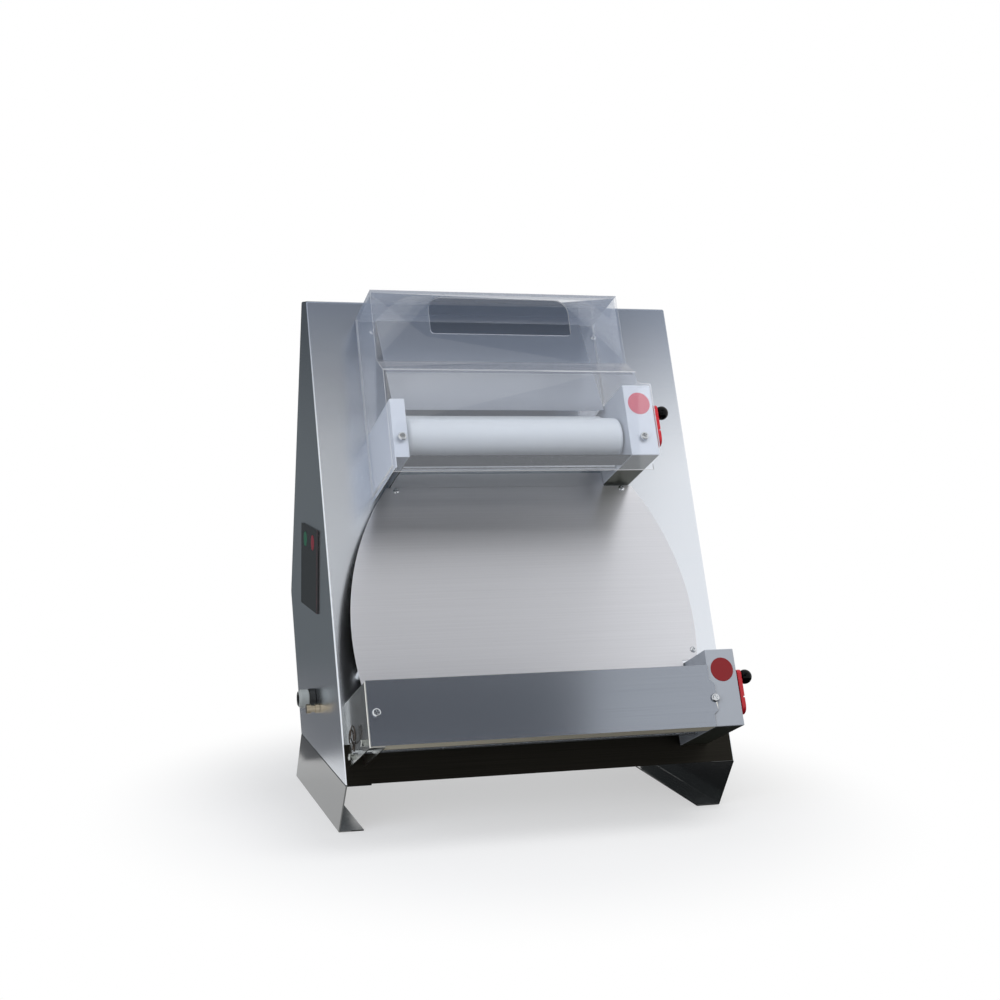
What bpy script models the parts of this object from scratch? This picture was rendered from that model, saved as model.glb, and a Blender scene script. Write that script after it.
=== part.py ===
"""Electric dough sheeter with two pairs of parallel rollers and a sloping front panel.

Metres, +Z up, front towards -Y. Run it with blender --background --python part.py or from
Blender's text editor. Pieces on the front panel are placed by x, by how far they stand out
from the panel and by how far up the panel they are.
"""
from math import acos, atan2, cos, hypot, pi, radians, sin, tan

import bmesh
import bpy
from mathutils import Matrix, Vector

# Body
BODY_WIDTH = 0.560
BODY_TOP = 0.715
BODY_BOTTOM = 0.076
BODY_TOP_DEPTH = 0.033
BODY_KINK_BACK = 0.398
BODY_KINK_UP = 0.277
BODY_BOTTOM_DEPTH = 0.310
BODY_SHEET = 0.0015
PANEL_TILT = radians(24.5)
BASE_SHEET = 0.002

# Feet
FOOT_SHEET = 0.002
FOOT_FLANGE = 0.035
FOOT_FRONT_BACK = 0.045
FOOT_REAR_BACK = 0.350

# Slide plate, held off the panel
SLIDE_SHEET = 0.0015
SLIDE_TOP_UP = 0.411
SLIDE_TOP_OUT = 0.009
SLIDE_LENGTH = 0.317
SLIDE_BOTTOM_OUT = 0.0640
SLIDE_EDGE_RADIUS = 0.400
SLIDE_LEFT_REACH = 0.2655
SLIDE_LEFT_DOWN = 0.234
SLIDE_RIGHT_REACH = 0.230
SLIDE_RIGHT_DOWN = 0.195
SPACER_RADIUS = 0.005
SPACER_ABOVE_ROLLER = 0.035
SPACER_LEFT = 0.2500
SPACER_RIGHT = 0.2150

# Rollers: the upper and the lower pair share everything but length and place
ROLLER_RADIUS = 0.030
ROLLER_END_ROUND = 0.007
ROLLER_END_SPACE = 0.003
ROLLER_GAP = 0.001
ROLLER_OPENING = 0.004
ROLLER_OUT = 0.0875
UPPER_ROLLER_UP = 0.4535
LOWER_ROLLER_UP = 0.0645
SHAFT_RADIUS = 0.0075
UPPER_LEFT = -0.204
UPPER_RIGHT = 0.1373
LOWER_LEFT = -0.273
LOWER_RIGHT = 0.2012

# End brackets on the left and gear cases on the right
END_SHEET = 0.0015
BRACKET_WIDTH = 0.021
BRACKET_BELOW = 0.0405
BRACKET_ABOVE = 0.0445
UPPER_SKIRT = 0.015
LOWER_SKIRT = 0
CASE_WIDTH = 0.0422
CASE_BELOW = 0.039
CASE_ABOVE = 0.067
END_OUT = 0.1265

# Gears
GEAR_MODULE = 0.003
ROLLER_TEETH = 20
DRIVE_TEETH = 28
GEAR_WIDTH = 0.014
GEAR_SIDE_SPACE = 0.002
GEAR_SLACK = 0.0005

# Gap adjustment
CRANK_AHEAD = 0.025
CRANK_RADIUS = 0.006
CRANK_DISC_RADIUS = 0.009
CRANK_DISC_WIDTH = 0.005
CRANK_PIN_RADIUS = 0.003
LEVER_TURN = radians(60)
BLOCK_WIDTH = 0.010
BLOCK_WALL = 0.0045
LEVER_THICKNESS = 0.006
LEVER_WIDTH = 0.022
LEVER_RISE = 0.050
LEVER_SPACE = 0.0035
KNOB_RADIUS = 0.010
KNOB_UP = 0.041
KNOB_FLAT_RADIUS = 0.004

# Scrapers
SCRAPER_SHEET = 0.0015
SCRAPER_ROD_RADIUS = 0.003
SCRAPER_ROD_BEHIND = 0.0255
SCRAPER_ROD_DROP = 0.0325
SCRAPER_BLADE_REACH = 0.017
SCRAPER_BLADE_RISE = 0.0028
SCRAPER_ROD_END = 0.008

# Spring on the lower left bracket
SPRING_WIRE_RADIUS = 0.0009
SPRING_RADIUS = 0.0095
SPRING_PITCH = 0.0026
SPRING_REAR_OUT = 0.036
SPRING_FRONT_OUT = 0.060
SPRING_UP = 0.057
SPRING_LEG = 0.0180
BRACKET_BOLT_RADIUS = 0.005
BRACKET_BOLT_HEAD = 0.0055
REAR_BOLT_OUT = 0.0240
REAR_BOLT_UP = 0.0330
FRONT_BOLT_OUT = 0.100
FRONT_BOLT_UP = 0.036

# Hood and infeed
HOOD_SHEET = 0.003
HOOD_LEFT = -0.2095
HOOD_RIGHT = 0.1600
HOOD_TOP_UP = 0.674
HOOD_TOP_OUT = 0.099
HOOD_FRONT_SPACE = 0.0008
HOOD_JOG_TOP_UP = 0.555
HOOD_JOG_LOW_UP = 0.539
HOOD_LIP_UP = 0.3915
HOOD_SHOULDER_UP = 0.522
HOOD_WING_RIGHT = 0.1800
HOOD_TAB_RIGHT = 0.1655
HOOD_TAB_UP = 0.400
HOOD_FOLD = 0.007
SLOT_LEFT = -0.127
SLOT_RIGHT = 0.082
SLOT_LOW_UP = 0.609
SLOT_TOP_UP = 0.665
SLOT_TOP_ROUND = 0.020
SLOT_LOW_ROUND = 0.005
INFEED_SHEET = 0.0015
INFEED_TOP_UP = 0.687
INFEED_TOP_OUT = 0.003
INFEED_LOW_UP = 0.5110
INFEED_LOW_OUT = 0.0560
INFEED_HEM = 0.012

# Front cover of the lower pair
COVER_SHEET = 0.0015
COVER_SPACE = 0.0005
COVER_HEM = 0.028
COVER_LOW = 0.0390
COVER_HIGH = 0.0455
COVER_TAB_OUT = 0.0068
COVER_TAB_TOP = 0.020
COVER_TAB_LOW = 0.0225
COVER_TAB_STEP = 0.006

# Screws
SCREW_HEAD_RADIUS = 0.006
SCREW_HEAD_RISE = 0.0035
SCREW_RADIUS = 0.002
COVER_SCREW_LENGTH = 0.004
HOOD_SCREW_LENGTH = 0.0058
UPPER_SCREW_LEFT = -0.1922
UPPER_SCREW_RIGHT = 0.1582
UPPER_SCREW_UP = 0.441
COVER_SCREW_LEFT = -0.2609
COVER_SCREW_UP = 0.068
COVER_SCREW_RIGHT = 0.2053
COVER_SCREW_RIGHT_UP = 0.0643

# Controls on the left side
CONTROL_FRONT = 0.1883
CONTROL_WIDTH = 0.1174
CONTROL_UP = 0.2740
CONTROL_HEIGHT = 0.1180
CONTROL_SHEET = 0.002
KEY_RADIUS = 0.011
KEY_RISE = 0.0002
KEY_THICKNESS = 0.0014
KEY_DROP = 0.0205
START_KEY_BACK = 0.275
STOP_KEY_BACK = 0.2216
GLAND_BACK = 0.212
GLAND_UP = 0.1490
GLAND_REACH = 0.024
GLAND_RADIUS = 0.0140
GLAND_NECK_RADIUS = 0.0105
GLAND_THREAD_RADIUS = 0.0095
GLAND_BORE_RADIUS = 0.0065
GLAND_COLLAR = 0.008
GLAND_INSIDE = 0.012
TERMINAL_BACK = 0.178
TERMINAL_UP = 0.1415
TERMINAL_REACH = 0.0185
TERMINAL_RADIUS = 0.0067
TERMINAL_GROOVE = 0.006
TERMINAL_THREAD_RADIUS = 0.003

# Drive inside the body
DRIVE_SHAFT_RADIUS = 0.008
DRIVE_END = 0.006
TRANSFER_X = 0.112
MOTOR_BELT_X = 0.092
BELT_WIDTH = 0.010
BELT_THICKNESS = 0.003
PULLEY_RIM = 0.002
PULLEY_WIDTH = 0.013
TRANSFER_PULLEY_RADIUS = 0.026
DRIVEN_PULLEY_RADIUS = 0.031
MOTOR_PULLEY_RADIUS = 0.0172
MOTOR_RADIUS = 0.055
MOTOR_LENGTH = 0.170
MOTOR_END_RADIUS = 0.046
MOTOR_END_LENGTH = 0.030
MOTOR_BACK = 0.220
MOTOR_FOOT = 0.010
MOTOR_SHAFT_RADIUS = 0.007
CARRIER_SHEET = 0.003
CARRIER_HEIGHT = 0.050
CARRIER_TAIL = 0.018
BOX_WIDTH = 0.060
BOX_SHARE = 0.8

# Vents in the rear cover
VENT_COUNT = 8
VENT_LENGTH = 0.160
VENT_HEIGHT = 0.005
VENT_PITCH = 0.014
VENT_LOW_UP = 0.130

# Fits
FIT_GAP = 0.0003
CUT_OVERRUN = 0.004
WELD_DISTANCE = 0.00001

ROUND_STEPS = 40
SMALL_STEPS = 20
SMOOTH_ANGLE = radians(40)

BODY_HALF = BODY_WIDTH / 2
SIDE_TURN = Matrix.Rotation(pi / 2, 4, "Z") @ Matrix.Rotation(pi / 2, 4, "X")
FRONT_TURN = Matrix.Rotation(pi / 2, 4, "X")
ALONG_X = (0, pi / 2, 0)


def panel_place(out, up):
    """Depth and height of a point of the panel frame, from the body's lower front edge and the floor."""
    return (
        up * sin(PANEL_TILT) - out * cos(PANEL_TILT),
        BODY_BOTTOM + up * cos(PANEL_TILT) + out * sin(PANEL_TILT),
    )


def clear_scene():
    for obj in list(bpy.data.objects):
        bpy.data.objects.remove(obj)


def new_collection(name, parent):
    collection = bpy.data.collections.new(name)
    parent.children.link(collection)
    return collection


def new_material(name, colour, roughness, metallic=0.0, alpha=1.0):
    material = bpy.data.materials.new(name)
    material.use_nodes = True
    shader = material.node_tree.nodes["Principled BSDF"]
    shader.inputs["Base Color"].default_value = (*colour, 1)
    shader.inputs["Roughness"].default_value = roughness
    shader.inputs["Metallic"].default_value = metallic
    shader.inputs["Alpha"].default_value = alpha
    material.diffuse_color = (*colour, alpha)
    return material


clear_scene()
PARTS = new_collection("dough_sheeter", bpy.context.scene.collection)
CUTTERS = new_collection("cutters", bpy.context.scene.collection)


def new_empty(name, parent=None, location=(0, 0, 0), tilt=0.0):
    empty = bpy.data.objects.new(name, None)
    empty.location = location
    empty.rotation_euler = (tilt, 0, 0)
    empty.parent = parent
    CUTTERS.objects.link(empty)
    return empty


def box_middle():
    """Middle of the whole machine, seen from above, from the body's lower front edge."""
    front, _ = panel_place(END_OUT + COVER_SPACE + COVER_SHEET, LOWER_ROLLER_UP - COVER_LOW)
    return -GLAND_REACH / 2, (front + BODY_KINK_BACK) / 2


MIDDLE_X, MIDDLE_Y = box_middle()
ROOT = new_empty("machine", location=(-MIDDLE_X, -MIDDLE_Y, 0))
PANEL = new_empty("panel_frame", ROOT, (0, 0, BODY_BOTTOM), -PANEL_TILT)
UPPER = new_empty("upper_rollers", ROOT, (0, *panel_place(ROLLER_OUT, UPPER_ROLLER_UP)))
LOWER = new_empty("lower_rollers", ROOT, (0, *panel_place(ROLLER_OUT, LOWER_ROLLER_UP)))

STEEL = new_material("brushed_stainless", (0.62, 0.64, 0.68), 0.35, 1.0)
DARK_STEEL = new_material("machined_steel", (0.35, 0.36, 0.38), 0.4, 1.0)
CASE_PAINT = new_material("light_grey_paint", (0.70, 0.74, 0.78), 0.45)
WHITE_PLASTIC = new_material("white_plastic", (0.86, 0.88, 0.88), 0.4)
CLEAR_PLASTIC = new_material("clear_plastic", (0.85, 0.90, 0.95), 0.05, 0.0, 0.25)
RED_PAINT = new_material("red_paint", (0.60, 0.02, 0.04), 0.35)
BLACK_PLASTIC = new_material("black_plastic", (0.02, 0.02, 0.02), 0.25)
GREEN_KEY = new_material("green_key", (0.02, 0.35, 0.12), 0.4)
RED_KEY = new_material("red_key", (0.55, 0.02, 0.03), 0.4)
GREY_PLASTIC = new_material("grey_plastic", (0.45, 0.46, 0.47), 0.5)
BRIGHT_STEEL = new_material("bright_steel", (0.75, 0.76, 0.78), 0.2, 1.0)
RUBBER = new_material("black_rubber", (0.03, 0.03, 0.03), 0.8)
MOTOR_GREY = new_material("motor_grey", (0.30, 0.33, 0.36), 0.5)


def add_object(name, mesh, parent, location=(0, 0, 0), material=None, turn=(0, 0, 0), collection=None):
    obj = bpy.data.objects.new(name, mesh)
    obj.parent = parent
    obj.location = location
    obj.rotation_euler = turn
    if material:
        mesh.materials.append(material)
    (collection or PARTS).objects.link(obj)
    return obj


def hide_cutter(obj):
    for collection in list(obj.users_collection):
        collection.objects.unlink(obj)
    CUTTERS.objects.link(obj)
    obj.hide_render = True
    obj.display_type = "WIRE"
    return obj


def combine(target, other, operation):
    modifier = target.modifiers.new(operation.lower(), "BOOLEAN")
    modifier.operation = operation
    modifier.solver = "EXACT"
    modifier.object = hide_cutter(other)
    return target


def cut(target, *others):
    for other in others:
        combine(target, other, "DIFFERENCE")
    return target


def join(target, *others):
    for other in others:
        combine(target, other, "UNION")
    return target


def smooth(mesh):
    mesh.shade_smooth()
    mesh.set_sharp_from_angle(angle=SMOOTH_ANGLE)
    return mesh


def box_mesh(name, low, high):
    bm = bmesh.new()
    bmesh.ops.create_cube(bm, size=1)
    size = Vector(high) - Vector(low)
    middle = (Vector(high) + Vector(low)) / 2
    bmesh.ops.transform(bm, matrix=Matrix.Translation(middle) @ Matrix.Diagonal((*size, 1)), verts=bm.verts)
    mesh = bpy.data.meshes.new(name)
    bm.to_mesh(mesh)
    bm.free()
    return mesh


def flat_mesh(name, loops, thickness, turn):
    """A flat outline, with any holes as further loops, given its thickness and turned upright."""
    curve = bpy.data.curves.new(name, "CURVE")
    curve.dimensions = "2D"
    curve.fill_mode = "BOTH"
    curve.extrude = thickness / 2
    for loop in loops:
        spline = curve.splines.new("POLY")
        spline.points.add(len(loop) - 1)
        for point, (across, along) in zip(spline.points, loop):
            point.co = (across, along, 0, 1)
        spline.use_cyclic_u = True
    guide = bpy.data.objects.new(name, curve)
    CUTTERS.objects.link(guide)
    bpy.context.view_layer.update()
    graph = bpy.context.evaluated_depsgraph_get()
    mesh = bpy.data.meshes.new_from_object(guide.evaluated_get(graph))
    bpy.data.objects.remove(guide)
    bm = bmesh.new()
    bm.from_mesh(mesh)
    bmesh.ops.remove_doubles(bm, verts=bm.verts, dist=WELD_DISTANCE)
    bmesh.ops.transform(bm, matrix=turn, verts=bm.verts)
    bmesh.ops.recalc_face_normals(bm, faces=bm.faces)
    bm.to_mesh(mesh)
    bm.free()
    return mesh


def rod_mesh(name, radius, start, end, steps=SMALL_STEPS):
    """A cylinder along X from start to end."""
    bm = bmesh.new()
    place = Matrix.Translation(((start + end) / 2, 0, 0)) @ Matrix.Rotation(pi / 2, 4, "Y")
    bmesh.ops.create_cone(
        bm, cap_ends=True, segments=steps, radius1=radius, radius2=radius, depth=end - start, matrix=place
    )
    mesh = bpy.data.meshes.new(name)
    bm.to_mesh(mesh)
    bm.free()
    return smooth(mesh)


def turned(name, profile, steps, parent, location, material, closed=False):
    """A turned piece along X: the profile gives radius and x, and runs from the right end to the left."""
    mesh = bpy.data.meshes.new(name)
    count = len(profile)
    edges = [(i, i + 1) for i in range(count - 1)]
    if closed:
        edges.append((count - 1, 0))
    mesh.from_pydata([(radius, 0, along) for radius, along in profile], edges, [])
    obj = add_object(name, mesh, parent, location, material, ALONG_X)
    screw = obj.modifiers.new("turn", "SCREW")
    screw.steps = steps
    screw.render_steps = steps
    screw.use_merge_vertices = True
    screw.merge_threshold = WELD_DISTANCE
    screw.use_smooth_shade = False
    return obj


def circle(middle, radius, steps=SMALL_STEPS):
    return [
        (middle[0] + radius * cos(2 * pi * i / steps), middle[1] + radius * sin(2 * pi * i / steps))
        for i in range(steps)
    ]


def rectangle(left, low, right, high):
    return [(left, low), (right, low), (right, high), (left, high)]


def arc(middle, radius, start, end, steps):
    return [
        (
            middle[0] + radius * cos(start + (end - start) * i / steps),
            middle[1] + radius * sin(start + (end - start) * i / steps),
        )
        for i in range(steps + 1)
    ]


def inset(loop, depths):
    """The outline with each side moved in by its own depth, or out by a negative one."""
    count = len(loop)
    turn = sum(loop[i - 1][0] * loop[i][1] - loop[i][0] * loop[i - 1][1] for i in range(count))
    side = 1 if turn > 0 else -1
    lines = []
    for i, depth in enumerate(depths):
        start, end = Vector(loop[i]), Vector(loop[(i + 1) % count])
        run = (end - start).normalized()
        lines.append((start + side * depth * Vector((-run.y, run.x)), run))
    points = []
    for i, (place, run) in enumerate(lines):
        before, run_before = lines[i - 1]
        step = (place - before).cross(run) / run_before.cross(run)
        points.append(tuple(before + step * run_before))
    return points


def side_prism(name, loops, left, right, parent, material=None):
    """A solid with the given side view, from left to right."""
    mesh = flat_mesh(name, loops, right - left, SIDE_TURN)
    return add_object(name, mesh, parent, ((left + right) / 2, 0, 0), material)


def sheet_shell(name, loop, depths, left, right, side_depths, parent, material):
    """A folded sheet: the side view's solid less its inside, which runs out through the open sides."""
    outer = side_prism(name, [loop], left, right, parent, material)
    inner_left, inner_right = left + side_depths[0], right - side_depths[1]
    return cut(outer, side_prism(name + "_inside", [inset(loop, depths)], inner_left, inner_right, parent))


# Body: shell, rear cover, base plate and feet

def body_outline():
    back = (BODY_TOP - BODY_BOTTOM) * tan(PANEL_TILT)
    return [
        (0, BODY_BOTTOM),
        (back, BODY_TOP),
        (back + BODY_TOP_DEPTH, BODY_TOP),
        (BODY_KINK_BACK, BODY_KINK_UP),
        (BODY_BOTTOM_DEPTH, BODY_BOTTOM),
    ]


def gear_window(name, left, up):
    """Opening in the panel that lets a drive gear reach the roller gear."""
    reach = gear_reach(DRIVE_TEETH)
    half = (reach ** 2 - (drive_depth() - BODY_SHEET) ** 2) ** 0.5 + GEAR_SIDE_SPACE
    middle = rear_up(up)
    start = left + END_SHEET + GEAR_SIDE_SPACE
    return add_object(
        name,
        box_mesh(
            name,
            (start - GEAR_SIDE_SPACE, -CUT_OVERRUN, middle - half),
            (start + GEAR_WIDTH + GEAR_SIDE_SPACE, CUT_OVERRUN, middle + half),
        ),
        PANEL,
    )


def body_shell():
    depths = (BODY_SHEET, BODY_SHEET, -CUT_OVERRUN, -CUT_OVERRUN, -CUT_OVERRUN)
    walls = (BODY_SHEET, BODY_SHEET)
    shell = sheet_shell("body_shell", body_outline(), depths, -BODY_HALF, BODY_HALF, walls, ROOT, STEEL)
    wall = -BODY_HALF - CUT_OVERRUN, -BODY_HALF + CUT_OVERRUN
    gland_mesh = rod_mesh("gland_hole", GLAND_THREAD_RADIUS + FIT_GAP, *wall)
    gland = add_object("gland_hole", gland_mesh, ROOT, (0, GLAND_BACK, GLAND_UP))
    terminal_mesh = rod_mesh("terminal_hole", TERMINAL_THREAD_RADIUS + FIT_GAP, *wall)
    terminal = add_object("terminal_hole", terminal_mesh, ROOT, (0, TERMINAL_BACK, TERMINAL_UP))
    windows = [
        gear_window("upper_gear_window", UPPER_RIGHT, UPPER_ROLLER_UP),
        gear_window("lower_gear_window", LOWER_RIGHT, LOWER_ROLLER_UP),
    ]
    return cut(shell, gland, terminal, *windows)


def rear_cover():
    outline = body_outline()
    top = BODY_TOP - BODY_SHEET - FIT_GAP
    slope = (BODY_KINK_BACK - outline[2][0]) / (BODY_TOP - BODY_KINK_UP)
    rear_top = (outline[2][0] + (BODY_TOP - top) * slope, top)
    loop = [(BODY_TOP_DEPTH, BODY_BOTTOM), (BODY_TOP_DEPTH, top), rear_top, outline[3], outline[4]]
    half = BODY_HALF - BODY_SHEET - FIT_GAP
    depths = (-CUT_OVERRUN, -CUT_OVERRUN, BODY_SHEET, BODY_SHEET, -CUT_OVERRUN)
    open_ends = (-CUT_OVERRUN, -CUT_OVERRUN)
    cover = sheet_shell("rear_cover", loop, depths, -half, half, open_ends, ROOT, STEEL)
    return cut(cover, vents(slope))


def vents(slope):
    """One mesh of level slots through the upper slope of the rear cover."""
    bm = bmesh.new()
    for i in range(VENT_COUNT):
        up = BODY_KINK_UP + VENT_LOW_UP + i * VENT_PITCH
        back = BODY_KINK_BACK - (up - BODY_KINK_UP) * slope
        size = Matrix.Diagonal((VENT_LENGTH, 2 * CUT_OVERRUN, VENT_HEIGHT, 1))
        bmesh.ops.create_cube(bm, size=1, matrix=Matrix.Translation((0, back, up)) @ size)
    mesh = bpy.data.meshes.new("vents")
    bm.to_mesh(mesh)
    bm.free()
    return add_object("vents", mesh, ROOT)


def base_plate():
    half = BODY_HALF - BODY_SHEET - FIT_GAP
    front = BODY_SHEET / cos(PANEL_TILT) + BASE_SHEET * tan(PANEL_TILT) + FIT_GAP
    lean = atan2(BODY_KINK_BACK - BODY_BOTTOM_DEPTH, BODY_KINK_UP - BODY_BOTTOM)
    rear = BODY_BOTTOM_DEPTH - BODY_SHEET / cos(lean) - FIT_GAP
    mesh = box_mesh("base_plate", (-half, front, BODY_BOTTOM), (half, rear, BODY_BOTTOM + BASE_SHEET))
    return add_object("base_plate", mesh, ROOT, (0, 0, 0), STEEL)


def foot(name, side):
    top = BODY_BOTTOM - FIT_GAP
    loop = [(0, top), (FOOT_FRONT_BACK, 0), (FOOT_REAR_BACK, 0), (BODY_BOTTOM_DEPTH, top)]
    depths = (-CUT_OVERRUN, FOOT_SHEET, -CUT_OVERRUN, FOOT_SHEET)
    inner = BODY_HALF - FOOT_FLANGE
    if side < 0:
        return sheet_shell(name, loop, depths, -BODY_HALF, -inner, (FOOT_SHEET, -CUT_OVERRUN), ROOT, STEEL)
    return sheet_shell(name, loop, depths, inner, BODY_HALF, (-CUT_OVERRUN, FOOT_SHEET), ROOT, STEEL)


# Slide plate and its spacers

def slide_frame():
    drop = SLIDE_TOP_OUT - SLIDE_BOTTOM_OUT
    tilt = atan2(drop, SLIDE_LENGTH)
    return new_empty("slide_frame", PANEL, (0, -SLIDE_TOP_OUT, SLIDE_TOP_UP), tilt), tilt


def slide_edge(reach, apex_down, start, end, steps):
    """Points down one curved side: distance from the middle, and how far down the plate."""
    points = []
    for i in range(steps + 1):
        down = start + (end - start) * i / steps
        sag = SLIDE_EDGE_RADIUS - (SLIDE_EDGE_RADIUS ** 2 - (down - apex_down) ** 2) ** 0.5
        points.append((reach - sag, -down))
    return points


def slide_plate(frame, tilt):
    length = hypot(SLIDE_LENGTH, SLIDE_BOTTOM_OUT - SLIDE_TOP_OUT)
    case_top = LOWER_ROLLER_UP + CASE_ABOVE + ROLLER_END_SPACE
    bracket_top = LOWER_ROLLER_UP + BRACKET_ABOVE + ROLLER_END_SPACE
    right_notch = (SLIDE_TOP_UP - case_top) / cos(tilt)
    left_notch = (SLIDE_TOP_UP - bracket_top) / cos(tilt)
    right_x = LOWER_RIGHT - ROLLER_END_SPACE
    left_x = LOWER_LEFT + BRACKET_WIDTH + ROLLER_END_SPACE
    left = [(-x, y) for x, y in slide_edge(SLIDE_LEFT_REACH, SLIDE_LEFT_DOWN, 0, left_notch, 16)]
    right = slide_edge(SLIDE_RIGHT_REACH, SLIDE_RIGHT_DOWN, 0, right_notch, 12)
    feet = [(left_x, -left_notch), (left_x, -length), (right_x, -length), (right_x, -right_notch)]
    loop = left + feet + right[::-1]
    mesh = flat_mesh("slide_plate", [loop], SLIDE_SHEET, FRONT_TURN)
    plate = add_object("slide_plate", mesh, frame, (0, SLIDE_SHEET / 2, 0), STEEL)
    hem_left, hem_right = left[0][0] + SLIDE_SHEET, right[0][0] - SLIDE_SHEET
    hem_mesh = box_mesh(
        "slide_hem",
        (hem_left, -SLIDE_TOP_OUT + SLIDE_SHEET / 2, SLIDE_TOP_UP - 2 * SLIDE_SHEET),
        (hem_right, -FIT_GAP, SLIDE_TOP_UP - SLIDE_SHEET / 2),
    )
    return join(plate, add_object("slide_hem", hem_mesh, PANEL))


def spacer_drop():
    """How far below the slide's top the spacers stand, clear of the lower rear roller."""
    return SLIDE_TOP_UP - (rear_up(LOWER_ROLLER_UP) + ROLLER_RADIUS + SPACER_ABOVE_ROLLER)


def slide_spacer(name, x, frame, tilt):
    """A round spacer square to the slide plate, its foot cut to the slope of the panel."""
    drop = spacer_drop()
    down = drop / cos(tilt)
    reach = (SLIDE_TOP_OUT + drop * tan(-tilt)) / cos(tilt)
    mesh = rod_mesh(name, SPACER_RADIUS, SLIDE_SHEET + FIT_GAP, reach + SPACER_RADIUS)
    spacer = add_object(name, mesh, frame, (x, 0, -down), BRIGHT_STEEL, (0, 0, pi / 2))
    trim = box_mesh(
        name + "_trim",
        (x - 2 * SPACER_RADIUS, -FIT_GAP, 0),
        (x + 2 * SPACER_RADIUS, 2 * drop, SLIDE_TOP_UP),
    )
    return cut(spacer, add_object(name + "_trim", trim, PANEL))


# Roller assemblies

def gear_reach(teeth):
    return GEAR_MODULE * (teeth / 2 + 1)


def axis_distance():
    return 2 * ROLLER_RADIUS + ROLLER_GAP


def rear_up(up):
    """Height up the panel of the rear roller's axis, which lies level behind the front one."""
    return up + axis_distance() * sin(PANEL_TILT)


def rear_out():
    return ROLLER_OUT - axis_distance() * cos(PANEL_TILT)


def drive_distance():
    return GEAR_MODULE * (ROLLER_TEETH + DRIVE_TEETH) / 2 + GEAR_SLACK


def drive_depth():
    """How deep behind the panel's face the drive shafts run."""
    return drive_distance() - rear_out()


def drive_place():
    """Drive shaft in a roller frame: straight behind the rear roller, square to the panel."""
    return (
        axis_distance() + drive_distance() * cos(PANEL_TILT),
        -drive_distance() * sin(PANEL_TILT),
    )


def gear_phases():
    """Angles of one tooth of the front, rear and drive gears that put all three in mesh."""
    front = 0.0
    rear = meshed_phase(front, ROLLER_TEETH, 0.0, ROLLER_TEETH)
    drive = meshed_phase(rear, ROLLER_TEETH, -PANEL_TILT, DRIVE_TEETH)
    return front, rear, drive


def meshed_phase(phase, teeth, direction, other_teeth):
    """Tooth angle of a gear lying in the given direction, set so that its gap meets a tooth."""
    offset = teeth * (phase - direction) + pi
    return direction + pi - offset / other_teeth


def gear(name, teeth, phase, bore, x, parent, location, material):
    """A spur gear with straight flanks and a long tooth, which stays in mesh as the gap opens."""
    middle = GEAR_MODULE * teeth / 2
    tip, root = middle + GEAR_MODULE, middle - 1.25 * GEAR_MODULE
    tip_share, root_share = 0.135, 0.345
    pitch = 2 * pi / teeth
    loop = []
    for i in range(teeth):
        centre = phase + i * pitch
        for radius, share in ((root, -root_share), (tip, -tip_share), (tip, tip_share), (root, root_share)):
            angle = centre + share * pitch
            loop.append((radius * cos(angle), radius * sin(angle)))
    mesh = flat_mesh(name, [loop, circle((0, 0), bore + FIT_GAP)], GEAR_WIDTH, SIDE_TURN)
    return add_object(name, mesh, parent, (x + GEAR_WIDTH / 2, *location), material)


def roller(name, left, right, parent, depth):
    """A plastic roller: a thick tube with rounded rims, pushed over its shaft."""
    start, end = left + ROLLER_END_SPACE, right - ROLLER_END_SPACE
    corner = ROLLER_RADIUS - ROLLER_END_ROUND
    bore = SHAFT_RADIUS + FIT_GAP
    rim = arc((corner, end - ROLLER_END_ROUND), ROLLER_END_ROUND, pi / 2, 0, 4)
    foot_rim = arc((corner, start + ROLLER_END_ROUND), ROLLER_END_ROUND, 0, -pi / 2, 4)
    profile = [(bore, end)] + rim + foot_rim + [(bore, start)]
    return turned(name, profile, ROUND_STEPS, parent, (0, depth, 0), WHITE_PLASTIC, closed=True)


def end_holes(name, x, parent):
    """Cutter for a wall at x: holes for the rear shaft and the scraper's rod, a slot for the front shaft."""
    hole = SHAFT_RADIUS + FIT_GAP
    slot = arc((0, 0), hole, pi / 2, -pi / 2, 9)
    slot += arc((-ROLLER_OPENING, 0), hole, -pi / 2, -3 * pi / 2, 9)
    rod_hole = circle(scraper_place(), SCRAPER_ROD_RADIUS + FIT_GAP, 12)
    loops = [slot, circle((axis_distance(), 0), hole), rod_hole]
    return side_prism(name, loops, x - END_SHEET, x + END_SHEET, parent)


def in_roller_frame(out, up):
    """A place given out from and up the panel, from the front roller's axis, as depth and height."""
    depth = up * sin(PANEL_TILT) - out * cos(PANEL_TILT)
    return depth, up * cos(PANEL_TILT) + out * sin(PANEL_TILT)


def scraper_place():
    """The scraper's rod in a roller frame."""
    return in_roller_frame(-SCRAPER_ROD_BEHIND, -SCRAPER_ROD_DROP)


def front_hole(name, x, up):
    """A screw hole through a front wall."""
    start = END_OUT - END_SHEET - CUT_OVERRUN
    mesh = rod_mesh(name, SCREW_RADIUS + FIT_GAP, start, END_OUT + CUT_OVERRUN, 12)
    return add_object(name, mesh, PANEL, (x, 0, up), None, (0, 0, -pi / 2))


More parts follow.
